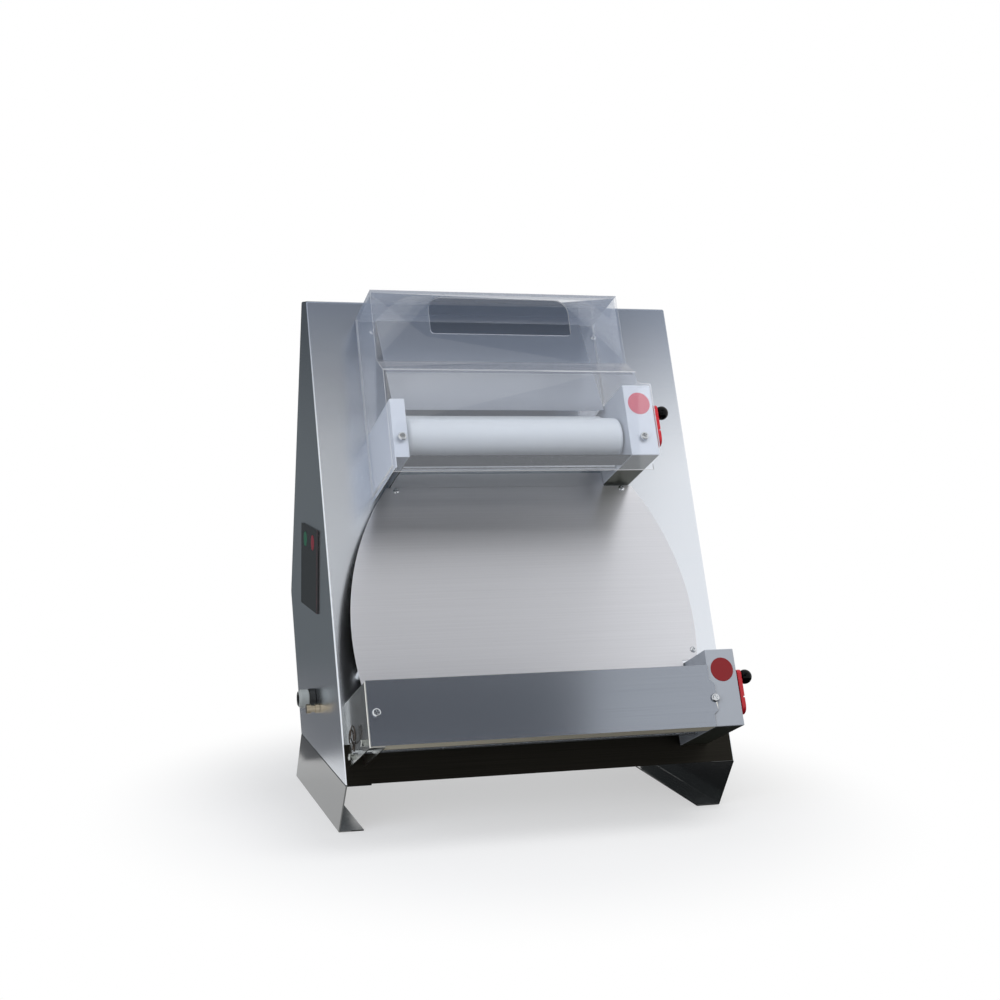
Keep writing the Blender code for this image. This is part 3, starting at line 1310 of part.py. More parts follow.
def drive_train():
    lower_drive = root_place(LOWER_ROLLER_UP)
    upper_drive = root_place(UPPER_ROLLER_UP)
    radius = TRANSFER_PULLEY_RADIUS
    drive_shaft("upper_drive_shaft", UPPER_RIGHT, UPPER, [(TRANSFER_X, radius)])
    drive_shaft(
        "lower_drive_shaft", LOWER_RIGHT, LOWER, [(TRANSFER_X, radius), (MOTOR_BELT_X, DRIVEN_PULLEY_RADIUS)]
    )
    belt("transfer_belt", ROOT, TRANSFER_X, lower_drive, radius, upper_drive, radius)
    driven = DRIVEN_PULLEY_RADIUS
    belt("motor_belt", ROOT, MOTOR_BELT_X, motor_place(), MOTOR_PULLEY_RADIUS, lower_drive, driven)
    shaft_carrier("upper_shaft_carrier", UPPER_ROLLER_UP)
    shaft_carrier("lower_shaft_carrier", LOWER_ROLLER_UP)
    motor()


def root_place(up):
    """A drive shaft's depth and height, for the roller pair at this height up the panel."""
    frame_y, frame_z = panel_place(ROLLER_OUT, up)
    y, z = drive_place()
    return frame_y + y, frame_z + z


def electronics_box():
    """The power board's box on the left wall behind the control panel."""
    left = -BODY_HALF + BODY_SHEET + FIT_GAP
    width, height = CONTROL_WIDTH * BOX_SHARE, CONTROL_HEIGHT * BOX_SHARE
    back = CONTROL_FRONT + (CONTROL_WIDTH - width) / 2
    low = CONTROL_UP + (CONTROL_HEIGHT - height) / 2
    mesh = box_mesh("electronics_box", (left, back, low), (left + BOX_WIDTH, back + width, low + height))
    return add_object("electronics_box", mesh, ROOT, (0, 0, 0), GREY_PLASTIC)


body_shell()
rear_cover()
base_plate()
foot("foot_left", -1)
foot("foot_right", 1)
slide, slide_tilt = slide_frame()
slide_plate(slide, slide_tilt)
slide_spacer("slide_spacer_left", -SPACER_LEFT, slide, slide_tilt)
slide_spacer("slide_spacer_right", SPACER_RIGHT, slide, slide_tilt)
upper_screws = ((UPPER_SCREW_LEFT, UPPER_SCREW_UP), (UPPER_SCREW_RIGHT, UPPER_SCREW_UP))
lower_screws = ((COVER_SCREW_LEFT, COVER_SCREW_UP), (COVER_SCREW_RIGHT, COVER_SCREW_RIGHT_UP))
upper_start = UPPER_LEFT + BRACKET_WIDTH - END_SHEET
lower_start = LOWER_LEFT - SCRAPER_ROD_END
roller_assembly(
    "upper", UPPER_LEFT, UPPER_RIGHT, UPPER_ROLLER_UP, UPPER_SKIRT, UPPER, upper_screws, upper_start
)
roller_assembly(
    "lower", LOWER_LEFT, LOWER_RIGHT, LOWER_ROLLER_UP, LOWER_SKIRT, LOWER, lower_screws, lower_start
)
lower_bracket_fittings(bpy.data.objects["lower_left_bracket"])
scraper_spring()
hood()
infeed_plate()
front_cover()
for side, (x, up) in zip(("left", "right"), upper_screws):
    screw("hood_screw_" + side, x, up, END_OUT + HOOD_FRONT_SPACE + HOOD_SHEET, HOOD_SCREW_LENGTH)
for side, (x, up) in zip(("left", "right"), lower_screws):
    screw("cover_screw_" + side, x, up, END_OUT + COVER_SPACE + COVER_SHEET, COVER_SCREW_LENGTH)
control_panel()
key("start_key", START_KEY_BACK, GREEN_KEY)
key("stop_key", STOP_KEY_BACK, RED_KEY)
cable_gland()
equipotential_terminal()
drive_train()
electronics_box()
bpy.context.view_layer.update()
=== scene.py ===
import math

import bmesh
import bpy
from mathutils import Matrix, Vector


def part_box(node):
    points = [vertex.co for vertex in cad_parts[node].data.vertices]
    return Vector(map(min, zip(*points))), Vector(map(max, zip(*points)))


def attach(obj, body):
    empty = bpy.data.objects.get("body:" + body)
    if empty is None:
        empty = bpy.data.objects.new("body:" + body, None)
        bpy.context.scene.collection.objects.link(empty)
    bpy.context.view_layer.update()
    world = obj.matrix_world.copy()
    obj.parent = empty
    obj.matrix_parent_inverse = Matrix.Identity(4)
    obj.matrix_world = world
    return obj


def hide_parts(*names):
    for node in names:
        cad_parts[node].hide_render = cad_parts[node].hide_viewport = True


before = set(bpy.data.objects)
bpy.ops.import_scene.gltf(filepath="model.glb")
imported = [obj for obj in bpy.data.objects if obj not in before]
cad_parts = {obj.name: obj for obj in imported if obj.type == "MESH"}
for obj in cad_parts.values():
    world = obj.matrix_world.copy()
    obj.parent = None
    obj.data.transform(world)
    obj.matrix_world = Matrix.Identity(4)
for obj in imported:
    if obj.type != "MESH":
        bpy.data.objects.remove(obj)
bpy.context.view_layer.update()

SCENE = bpy.context.scene


# Studio: a white sweep under and behind the machine, with soft lamps and dark flags.
# The flags stand out of the picture and are seen only in the steel, as a photographer sets them.

CAMERA_PLACE = (-0.7310, -2.252722, 0.6488)
CAMERA_YAW = math.radians(-17.627)
CAMERA_PITCH = math.radians(5.136)
CAMERA_ROLL = math.radians(0.870)
CAMERA_LENS = 1667.7 / 1000 * 36
FLOOR_COLOUR = "#FBFBFB"


def linear(code):
    """An sRGB hex colour as linear red, green, blue and alpha."""
    parts = [int(code[i:i + 2], 16) / 255 for i in (1, 3, 5)]
    return (*[c / 12.92 if c <= 0.04045 else ((c + 0.055) / 1.055) ** 2.4 for c in parts], 1.0)


def add_node(tree, kind, values=None, **settings):
    """Adds one node: its settings, and for each input a value or the socket that feeds it."""
    node = tree.nodes.new(kind)
    for name, value in settings.items():
        setattr(node, name, value)
    for name, value in (values or {}).items():
        if isinstance(value, bpy.types.NodeSocket):
            tree.links.new(value, node.inputs[name])
        else:
            node.inputs[name].default_value = value
    return node


def bare_material(name):
    """A new material with an empty node tree, and its output node."""
    material = bpy.data.materials.new(name)
    material.use_nodes = True
    tree = material.node_tree
    tree.nodes.clear()
    return material, tree, tree.nodes.new("ShaderNodeOutputMaterial")


def studio_sweep():
    """White painted floor that keeps the machine's shadow near it and goes to pure white further off.
    Soft light that comes back from it is weak, as from the dark table top under the white paper's edge."""
    material, tree, output = bare_material("white_sweep_paint")
    path = add_node(tree, "ShaderNodeLightPath")
    place = add_node(tree, "ShaderNodeTexCoord")
    cloud = add_node(tree, "ShaderNodeTexNoise", {"Vector": place.outputs["Object"], "Scale": 3.0})
    tone = add_node(tree, "ShaderNodeMapRange", {"Value": cloud.outputs["Fac"], "To Min": 0.9, "To Max": 1.0})
    shade = add_node(
        tree,
        "ShaderNodeMix",
        {"Factor": path.outputs["Is Diffuse Ray"], "A": linear(FLOOR_COLOUR), "B": linear("#6E6E70")},
        data_type="RGBA",
    )
    paint = add_node(
        tree, "ShaderNodeBsdfDiffuse", {"Color": shade.outputs["Result"], "Roughness": tone.outputs["Result"]}
    )
    glow = add_node(tree, "ShaderNodeEmission", {"Color": linear("#FFFFFF"), "Strength": 1.0})
    reach = add_node(tree, "ShaderNodeVectorMath", {0: place.outputs["Object"]}, operation="LENGTH")
    away = add_node(
        tree,
        "ShaderNodeMapRange",
        {"Value": reach.outputs["Value"], "From Min": 0.32, "From Max": 0.62, "To Min": 0.5, "To Max": 1.0},
        interpolation_type="SMOOTHSTEP",
    )
    seen = add_node(
        tree, "ShaderNodeMath", {0: 1.0, 1: path.outputs["Is Diffuse Ray"]}, operation="SUBTRACT"
    )
    share = add_node(tree, "ShaderNodeMath", {0: away.outputs["Result"], 1: seen.outputs[0]}, operation="MULTIPLY")
    surface = add_node(
        tree, "ShaderNodeMixShader", {0: share.outputs[0], 1: paint.outputs[0], 2: glow.outputs[0]}
    )
    tree.links.new(surface.outputs[0], output.inputs["Surface"])
    bm = bmesh.new()
    bmesh.ops.create_grid(bm, x_segments=1, y_segments=1, size=40.0)
    mesh = bpy.data.meshes.new("studio_sweep")
    bm.to_mesh(mesh)
    bm.free()
    floor = bpy.data.objects.new("studio_sweep", mesh)
    floor.location = (0, 0, -0.0006)
    SCENE.collection.objects.link(floor)
    mesh.materials.append(material)


def studio_card(name, middle, look_at, width, height, tone):
    """A dark, grey or pale card, lit evenly, that only reflections see."""
    material, tree, output = bare_material(name + "_paper")
    place = add_node(tree, "ShaderNodeTexCoord")
    fibre = add_node(tree, "ShaderNodeTexNoise", {"Vector": place.outputs["Object"], "Scale": 40.0})
    level = add_node(tree, "ShaderNodeMapRange", {"Value": fibre.outputs["Fac"], "To Min": 0.9, "To Max": 1.1})
    paper = add_node(tree, "ShaderNodeEmission", {"Color": linear(tone), "Strength": level.outputs["Result"]})
    tree.links.new(paper.outputs[0], output.inputs["Surface"])
    bm = bmesh.new()
    bmesh.ops.create_grid(bm, x_segments=1, y_segments=1, size=0.5)
    mesh = bpy.data.meshes.new(name)
    bm.to_mesh(mesh)
    bm.free()
    mesh.materials.append(material)
    card = bpy.data.objects.new(name, mesh)
    card.location = middle
    card.rotation_euler = (Vector(look_at) - Vector(middle)).to_track_quat("Z", "Y").to_euler()
    card.scale = (width, height, 1)
    card.visible_camera = False
    card.visible_diffuse = False
    card.visible_transmission = False
    card.visible_shadow = False
    SCENE.collection.objects.link(card)


def studio_lamp(name, place, look_at, size, watts, colour):
    lamp = bpy.data.lights.new(name, "AREA")
    lamp.shape = "RECTANGLE"
    lamp.size, lamp.size_y = size
    lamp.energy = watts
    lamp.color = linear(colour)[:3]
    obj = bpy.data.objects.new(name, lamp)
    obj.location = place
    obj.rotation_euler = (Vector(look_at) - Vector(place)).to_track_quat("-Z", "Y").to_euler()
    obj.visible_camera = False
    obj.visible_glossy = False
    obj.visible_transmission = False
    SCENE.collection.objects.link(obj)
    return obj


def studio_camera():
    yaw, pitch, roll = CAMERA_YAW, CAMERA_PITCH, CAMERA_ROLL
    back = Vector((math.sin(yaw) * math.cos(pitch), -math.cos(yaw) * math.cos(pitch), math.sin(pitch)))
    right = Vector((0, 0, 1)).cross(back).normalized()
    up = back.cross(right)
    side = math.cos(roll) * right + math.sin(roll) * up
    top = -math.sin(roll) * right + math.cos(roll) * up
    data = bpy.data.cameras.new("studio_camera")
    data.lens = CAMERA_LENS
    data.sensor_width = 36
    data.sensor_fit = "AUTO"
    camera = bpy.data.objects.new("studio_camera", data)
    turn = Matrix((side, top, back)).transposed().to_4x4()
    camera.matrix_world = Matrix.Translation(CAMERA_PLACE) @ turn
    SCENE.collection.objects.link(camera)
    SCENE.camera = camera


def studio_air():
    """White to the camera, to gloss and through the clear hood, and a plain level for everything else."""
    world = bpy.data.worlds.new("studio_air")
    world.use_nodes = True
    tree = world.node_tree
    tree.nodes.clear()
    output = tree.nodes.new("ShaderNodeOutputWorld")
    path = add_node(tree, "ShaderNodeLightPath")
    seen = add_node(
        tree,
        "ShaderNodeMath",
        {0: path.outputs["Is Camera Ray"], 1: path.outputs["Is Glossy Ray"]},
        operation="MAXIMUM",
    )
    shown = add_node(
        tree, "ShaderNodeMath", {0: seen.outputs[0], 1: path.outputs["Is Transmission Ray"]}, operation="MAXIMUM"
    )
    first = add_node(tree, "ShaderNodeMath", {0: path.outputs["Diffuse Depth"], 1: 0.5}, operation="LESS_THAN")
    seen_white = add_node(tree, "ShaderNodeMath", {0: shown.outputs[0], 1: first.outputs[0]}, operation="MULTIPLY")
    level = add_node(tree, "ShaderNodeMapRange", {"Value": seen_white.outputs[0], "To Min": 0.40, "To Max": 1.0})
    air = add_node(tree, "ShaderNodeBackground", {"Color": linear("#FFFFFF"), "Strength": level.outputs["Result"]})
    tree.links.new(air.outputs[0], output.inputs["Surface"])
    SCENE.world = world


SCENE.view_settings.view_transform = "Standard"
studio_camera()
studio_air()
studio_sweep()
studio_lamp("key_softbox", (0.35, -0.80, 1.50), (0.05, -0.05, 0.50), (0.9, 0.6), 8.5, "#FFFFFF")
studio_lamp("fill_softbox", (-1.5, -1.2, 1.1), (0.0, 0.0, 0.4), (1.0, 1.2), 9, "#EAF1FF")
glint = studio_lamp("glint", (-0.45, -1.7, 1.35), (0.2, -0.1, 0.5), (0.10, 0.10), 0.5, "#FFFFFF")
glint.visible_glossy = True
studio_card("flag_high", (0.145, -2.675, 3.48), (0.0, 0.1, 0.6), 3.2, 0.95, "#181C22")
studio_card("flag_slide", (1.232, -2.317, 3.319), (0.0, 0.0, 0.3), 1.0, 0.55, "#3A3E44")
studio_card("flag_cover", (-0.06, -0.87, 0.61), (0.0, -0.25, 0.19), 0.78, 0.34, "#50545C")
studio_card("flag_left", (-0.85, 1.0, 1.5), (-0.85, -1.0, 1.5), 1.7, 3.0, "#5E6366")
studio_card("flag_low_left", (-0.85, 0.70, -0.0003), (-0.85, 0.70, 1.0), 1.1, 0.8, "#6C6E72")
studio_card("flag_low", (0.5, -0.6, -0.0003), (0.5, -0.6, 1.0), 1.5, 1.6, "#2E3032")


# Body shell: one folded sheet of brushed stainless steel that makes the sloping front, both sides and the top.
# Its grain runs level, its bends have a small radius, and its cut edges are slightly broken.

BEND_RADIUS = 0.0024
EDGE_BREAK = 0.00025
GRAIN_WIDTH_MM = 1.2
GRAIN_LENGTH_MM = 160


def merged_copy(node, name):
    """A CAD node's mesh as a bmesh, its loose triangles merged into whole faces."""
    bm = bmesh.new()
    bm.from_mesh(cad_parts[node].data)
    bm.transform(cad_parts[node].matrix_world)
    bmesh.ops.remove_doubles(bm, verts=bm.verts, dist=0.000002)
    bmesh.ops.dissolve_limit(bm, angle_limit=math.radians(0.6), verts=bm.verts, edges=bm.edges)
    bm.normal_update()
    return bm


def face_width(face):
    """How wide a face is across its longest side, which tells a sheet's rim from its walls."""
    return face.calc_area() / max(edge.calc_length() for edge in face.edges)


def soften(bm, bend, edge_break, rim=0.004):
    """Rounds the outer bends between wide walls and breaks the other sharp edges."""
    sharp = math.radians(30)
    bends, edges = [], []
    for edge in bm.edges:
        if len(edge.link_faces) != 2 or edge.calc_face_angle(0) < sharp:
            continue
        wide = min(face_width(face) for face in edge.link_faces) > rim
        if bend and wide and edge.is_convex:
            bends.append(edge)
        else:
            edges.append(edge)
    if bends:
        keep = [tuple(v.co.copy() for v in edge.verts) for edge in edges]
        bmesh.ops.bevel(
            bm, geom=bends, offset=bend, offset_type="OFFSET", segments=4, profile=0.5,
            affect="EDGES", clamp_overlap=True, material=-1,
        )
        bm.normal_update()
        edges = []
        for edge in bm.edges:
            if len(edge.link_faces) == 2 and edge.calc_face_angle(0) > math.radians(50):
                edges.append(edge)
    if edge_break:
        bmesh.ops.bevel(
            bm, geom=edges, offset=edge_break, offset_type="OFFSET", segments=1, profile=0.5,
            affect="EDGES", clamp_overlap=True, material=-1,
        )
    bmesh.ops.dissolve_degenerate(bm, dist=0.000002, edges=bm.edges)
    bm.normal_update()


def place_piece(bm, name, material, body, replaced=(), smooth_below=35):
    """Turns the bmesh into a piece of the machine: its finish, its body and the CAD node that it stands for."""
    mesh = bpy.data.meshes.new(name)
    bm.to_mesh(mesh)
    bm.free()
    mesh.shade_smooth()
    mesh.set_sharp_from_angle(angle=math.radians(smooth_below))
    mesh.materials.append(material)
    obj = bpy.data.objects.new(name, mesh)
    SCENE.collection.objects.link(obj)
    even = obj.modifiers.new("even_shading", "WEIGHTED_NORMAL")
    even.keep_sharp = True
    even.weight = 90
    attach(obj, body)
    if replaced:
        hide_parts(*replaced)
    return obj


def stainless(name, light, dark, rough=(0.26, 0.36), grain=GRAIN_WIDTH_MM, length=GRAIN_LENGTH_MM, fade=None, bite=0.02):
    """Brushed 304 sheet: level grain drawn wide enough to show, and a faint cloudiness from the rolling mill.
    fade gives two heights and the colour that the sheet takes towards the first: painted light and shade by height,
    standing in for reflections on the sheet."""
    material, tree, output = bare_material(name)
    place = add_node(tree, "ShaderNodeTexCoord")
    stretch = add_node(
        tree,
        "ShaderNodeMapping",
        {"Vector": place.outputs["Object"], "Scale": (1000 / length, 1000 / grain, 1000 / grain)},
    )
    lines = add_node(
        tree,
        "ShaderNodeTexNoise",
        {"Vector": stretch.outputs["Vector"], "Scale": 1.0, "Detail": 4.0, "Roughness": 0.65},
    )
    cloud = add_node(tree, "ShaderNodeTexNoise", {"Vector": place.outputs["Object"], "Scale": 7.0, "Detail": 2.0})
    share = add_node(
        tree, "ShaderNodeMapRange", {"Value": lines.outputs["Fac"], "From Min": 0.3, "From Max": 0.7}
    )
    tone = add_node(
        tree,
        "ShaderNodeMix",
        {"Factor": share.outputs["Result"], "A": linear(dark), "B": linear(light)},
        data_type="RGBA",
    )
    tone_out = tone.outputs["Result"]
    if fade:
        start, end, colour = fade
        parts = add_node(tree, "ShaderNodeSeparateXYZ", {"Vector": place.outputs["Object"]})
        height = add_node(
            tree,
            "ShaderNodeMapRange",
            {"Value": parts.outputs["Z"], "From Min": start, "From Max": end},
            interpolation_type="SMOOTHSTEP",
        )
        faded = add_node(
            tree,
            "ShaderNodeMix",
            {"Factor": height.outputs["Result"], "A": linear(colour), "B": tone_out},
            data_type="RGBA",
        )
        tone_out = faded.outputs["Result"]
    mixed = add_node(
        tree, "ShaderNodeMath", {0: lines.outputs["Fac"], 1: cloud.outputs["Fac"]}, operation="ADD"
    )
    gloss = add_node(
        tree,
        "ShaderNodeMapRange",
        {"Value": mixed.outputs[0], "From Min": 0.6, "From Max": 1.4, "To Min": rough[0], "To Max": rough[1]},
    )
    bump = add_node(
        tree, "ShaderNodeBump", {"Height": lines.outputs["Fac"], "Strength": bite, "Distance": 0.0003}
    )
    across = add_node(tree, "ShaderNodeCombineXYZ", {"X": 0.0, "Y": 0.02, "Z": 1.0})
    steel = add_node(
        tree,
        "ShaderNodeBsdfPrincipled",
        {
            "Base Color": tone_out,
            "Metallic": 1.0,
            "Roughness": gloss.outputs["Result"],
            "Anisotropic": 0.8,
            "Normal": bump.outputs["Normal"],
            "Tangent": across.outputs["Vector"],
        },
    )
    tree.links.new(steel.outputs[0], output.inputs["Surface"])
    return material


# The body's colour darkens to blue grey towards the top: a painted reflection, given by height.
body_sheet = stainless("brushed_stainless_body", "#E6EAF0", "#E2E7EE", rough=(0.23, 0.26), fade=(0.76, 0.46, "#8790A0"))
# Below SHADED_BELOW the front face takes a near-black steel: painted shade and painted reflection of the roller unit's
# dark underside.
SHADED_BELOW = 0.125
shaded_front = stainless("shaded_stainless_front", "#36342F", "#2C2A26", rough=(0.5, 0.6))
bm = merged_copy("body_shell", "body_sheet")
soften(bm, BEND_RADIUS, EDGE_BREAK)
bmesh.ops.bisect_plane(
    bm, geom=bm.verts[:] + bm.edges[:] + bm.faces[:], plane_co=(0, 0, SHADED_BELOW), plane_no=(0, 0, 1)
)
for face in bm.faces:
    middle = face.calc_center_median()
    low_front = face.normal.y < -0.8 and middle.z < SHADED_BELOW
    face.material_index = 1 if low_front else 0
body_piece = place_piece(bm, "folded_body", body_sheet, "machine", ("body_shell",))
body_piece.data.materials.append(shaded_front)


# Rear cover and base plate: plain folded stainless sheets set inside the shell and held by small screws.
# The slots near the top of the cover let the warm air of the motor out.

cover_sheet = stainless("brushed_stainless_rear", "#CDD2D8", "#BBC0C7", rough=(0.30, 0.42))
for node, name in (("rear_cover", "vented_rear_cover"), ("base_plate", "bottom_plate")):
    bm = merged_copy(node, name)
    soften(bm, 0, EDGE_BREAK)
    place_piece(bm, name, cover_sheet, "machine", (node,))


# Feet: two bent sheets of polished stainless, folded inwards at the top and bottom, that carry the body.
# They are polished brighter and smoother than the body, so they mirror the worktop; their steel colour is darkened to a
# mid grey, a painted reflection of the dark worktop.

foot_sheet = stainless("polished_foot_painted_reflection", "#7F807F", "#777877", rough=(0.10, 0.16))
for node, name in (("foot_left", "bent_foot_left"), ("foot_right", "bent_foot_right")):
    bm = merged_copy(node, name)
    soften(bm, 0.0018, EDGE_BREAK)
    place_piece(bm, name, foot_sheet, "machine", (node,))


# Slide plate: a barrel-shaped stainless plate on which the dough slides from the upper to the lower rollers.
# Its level grain is coarser than the body's. It stands on two turned spacers and a folded hem.

# The slide's colour brightens to near white towards its top: painted light against the dark reflection there.
slide_sheet = stainless("brushed_stainless_slide", "#E2E3E8", "#DCDDE2", rough=(0.30, 0.34), grain=1.6, length=220, bite=0.04, fade=(0.50, 0.42, "#FAFAFC"))
# The back face of the plate takes a near-black steel: painted shade between the plate and the panel, which the panel
# mirrors as a dark crescent.
slide_back = stainless("shaded_stainless_back", "#2E2B28", "#242120", rough=(0.5, 0.6))
bm = merged_copy("slide_plate", "barrel_slide")
soften(bm, 0, EDGE_BREAK)
for face in bm.faces:
    face.material_index = 1 if face.normal.y > 0.5 else 0
slide_piece = place_piece(bm, "barrel_slide", slide_sheet, "machine", ("slide_plate",))
slide_piece.data.materials.append(slide_back)


def turned_steel(name, light, dark, rough=(0.14, 0.26)):
    """Turned steel: fine rings round the axis, bright, with a few duller ones."""
    material, tree, output = bare_material(name)
    place = add_node(tree, "ShaderNodeTexCoord")
    rings = add_node(
        tree,
        "ShaderNodeMapping",
        {"Vector": place.outputs["Object"], "Scale": (900, 60, 60)},
    )
    cuts = add_node(tree, "ShaderNodeTexNoise", {"Vector": rings.outputs["Vector"], "Scale": 1.0, "Detail": 3.0})
    tone = add_node(
        tree,
        "ShaderNodeMix",
        {"Factor": cuts.outputs["Fac"], "A": linear(dark), "B": linear(light)},
        data_type="RGBA",
    )
    gloss = add_node(
        tree, "ShaderNodeMapRange", {"Value": cuts.outputs["Fac"], "To Min": rough[0], "To Max": rough[1]}
    )
    bump = add_node(tree, "ShaderNodeBump", {"Height": cuts.outputs["Fac"], "Strength": 0.1, "Distance": 0.0002})
    steel = add_node(
        tree,
        "ShaderNodeBsdfPrincipled",
        {
            "Base Color": tone.outputs["Result"],
            "Metallic": 1.0,
            "Roughness": gloss.outputs["Result"],
            "Normal": bump.outputs["Normal"],
        },
    )
    tree.links.new(steel.outputs[0], output.inputs["Surface"])
    return material


bright_turned = turned_steel("bright_turned_steel", "#DADDE0", "#C2C6CB")
machined = turned_steel("machined_shaft_steel", "#A9ADB2", "#8C9095", rough=(0.22, 0.36))


def refinish(material, *nodes):
    """A CAD node whose shape is right keeps it and gets the real finish."""
    for node in nodes:
        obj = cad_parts[node]
        obj.data.materials.clear()
        obj.data.materials.append(material)
        obj.data.shade_smooth()


refinish(bright_turned, "slide_spacer_left", "slide_spacer_right")


# Small screws that the solids leave out: low button heads of bright steel on the slide and behind the hood.
# Each sits on its sheet and has a round socket sunk into its top.

TILT = math.radians(24.5)
PANEL = Matrix.Translation((0.012, -0.145822, 0.076)) @ Matrix.Rotation(-TILT, 4, "X")
SLIDE_TILT = math.atan2(0.009 - 0.064, 0.317)
SLIDE_SHEET = 0.0015
BUTTON_RADIUS = 0.0045
BUTTON_RISE = 0.0018


def turned_bmesh(profile, axis, turn, steps=32):
    """Spins a profile of radius and height points round an axis, closed at its poles, then places it."""
    bm = bmesh.new()
    points = [bm.verts.new((radius, 0, along)) for radius, along in profile]
    edges = [bm.edges.new(pair) for pair in zip(points, points[1:])]
    bmesh.ops.spin(
        bm, geom=points + edges, cent=(0, 0, 0), axis=(0, 0, 1), angle=math.tau, steps=steps, use_merge=True
    )
    bmesh.ops.remove_doubles(bm, verts=bm.verts, dist=0.000001)
    bmesh.ops.recalc_face_normals(bm, faces=bm.faces)
    bmesh.ops.transform(bm, matrix=turn, verts=bm.verts)
    return bm


def button_screw(name, frame_turn, x, out, up):
    """A low domed head with a round socket sunk into it, square to its sheet."""
    radius, rise = BUTTON_RADIUS, BUTTON_RISE
    profile = [(0, rise * 0.4), (radius * 0.42, rise * 0.4), (radius * 0.46, rise)]
    profile += [
        (radius * math.sin(a), rise * math.cos(a)) for a in (math.radians(35), math.radians(55), math.radians(75))
    ]
    profile += [(radius, 0), (0, 0)]
    turn = frame_turn @ Matrix.Translation((x, -out, up)) @ Matrix.Rotation(math.pi / 2, 4, "X")
    bm = turned_bmesh(profile, "Z", turn, 24)
    place_piece(bm, name, bright_turned, "machine")


SLIDE = PANEL @ Matrix.Translation((0, -0.009, 0.411)) @ Matrix.Rotation(SLIDE_TILT, 4, "X")
TONGUE_RISE = 0.0215
bracket_low, bracket_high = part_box("upper_left_bracket")
case_low, case_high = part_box("upper_gear_case")
tongue_left, tongue_right = bracket_high.x + 0.0006, case_low.x - 0.0006
bm = bmesh.new()
bmesh.ops.create_cube(bm, size=1)
bmesh.ops.scale(bm, vec=(tongue_right - tongue_left, SLIDE_SHEET, TONGUE_RISE), verts=bm.verts)
middle_x = (tongue_left + tongue_right) / 2 - PANEL.translation.x
place = SLIDE @ Matrix.Translation((middle_x, SLIDE_SHEET / 2, TONGUE_RISE / 2 + 0.0001))
bmesh.ops.transform(bm, matrix=place, verts=bm.verts)
place_piece(bm, "slide_top_lip", slide_sheet, "machine")

for name, x, down in (
    ("slide_screw_top_left", -0.1757, 0.0048),
    ("slide_screw_top_right", 0.1630, 0.0048),
    ("slide_screw_low_right", 0.2180, 0.265),
):
    button_screw(name, SLIDE, x, 0.0003, -down)
for name, x, up in (
    ("panel_screw_left", -0.1856, 0.6554),
    ("panel_screw_right", 0.1564, 0.6526),
    ("panel_screw_low", 0.1554, 0.5436),
):
    button_screw(name, PANEL, x, 0.0002, up)


# Brackets and gear cases: folded steel sheet with a light grey satin paint, bolted to the front panel.
# The paint has a very fine orange peel and a faint cloudiness in its tone; the lower left bracket is bare satin steel.

def satin_paint(name, light, dark, rough=0.38):
    material, tree, output = bare_material(name)
    place = add_node(tree, "ShaderNodeTexCoord")
    peel = add_node(
        tree, "ShaderNodeTexNoise", {"Vector": place.outputs["Object"], "Scale": 900.0, "Detail": 2.0}
    )
    cloud = add_node(tree, "ShaderNodeTexNoise", {"Vector": place.outputs["Object"], "Scale": 18.0, "Detail": 2.0})
    tone = add_node(
        tree,
        "ShaderNodeMix",
        {"Factor": cloud.outputs["Fac"], "A": linear(dark), "B": linear(light)},
        data_type="RGBA",
    )
    gloss = add_node(
        tree, "ShaderNodeMapRange", {"Value": cloud.outputs["Fac"], "To Min": rough - 0.05, "To Max": rough + 0.05}
    )
    bump = add_node(tree, "ShaderNodeBump", {"Height": peel.outputs["Fac"], "Strength": 0.08, "Distance": 0.0003})
    paint = add_node(
        tree,
        "ShaderNodeBsdfPrincipled",
        {
            "Base Color": tone.outputs["Result"],
            "Roughness": gloss.outputs["Result"],
            "IOR": 1.5,
            "Normal": bump.outputs["Normal"],
        },
    )
    tree.links.new(paint.outputs[0], output.inputs["Surface"])
    return material


upper_paint = satin_paint("light_grey_satin_paint", "#DCE1E9", "#D5DBE3")
# The lower gear box takes a darker copy of the same light grey paint: painted shade lower down the machine.
lower_paint_painted_shade = satin_paint("grey_satin_paint", "#C0C6CF", "#B9BFC8")
zinc_bolt = turned_steel("bright_zinc_bolt", "#B9BCB9", "#8F9390", rough=(0.12, 0.24))
bracket_steel = stainless("satin_steel_bracket", "#F1F2EE", "#E6E7E2", rough=(0.3, 0.36))
# The downward faces of the brackets and gear boxes take a dark steel colour: painted shade under them.
underside_painted_shade = stainless("underside_steel_painted_shade", "#52554C", "#474A42", rough=(0.3, 0.4))
for level in ("upper", "lower"):
    for node, name in ((level + "_left_bracket", level + "_end_bracket"), (level + "_gear_case", level + "_gear_box")):
        bm = merged_copy(node, name)
        soften(bm, 0.0012, EDGE_BREAK)
        bare = node == "lower_left_bracket"
        outer_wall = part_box("front_cover")[0].x - 0.0012
        for face in bm.faces:
            if bare and max(v.co.x for v in face.verts) < outer_wall:
                face.material_index = 1
            elif face.normal.z < -0.85:
                face.material_index = 2
        finish = bracket_steel if bare else upper_paint if level == "upper" else lower_paint_painted_shade
        piece = place_piece(bm, name, finish, "machine", (node,))
        piece.data.materials.append(zinc_bolt)
        piece.data.materials.append(underside_painted_shade)


# Red round marks: thin printed discs on the front of both gear cases, left without any sign on them.

MARK_RADIUS = 0.0165
MARK_THICKNESS = 0.0002
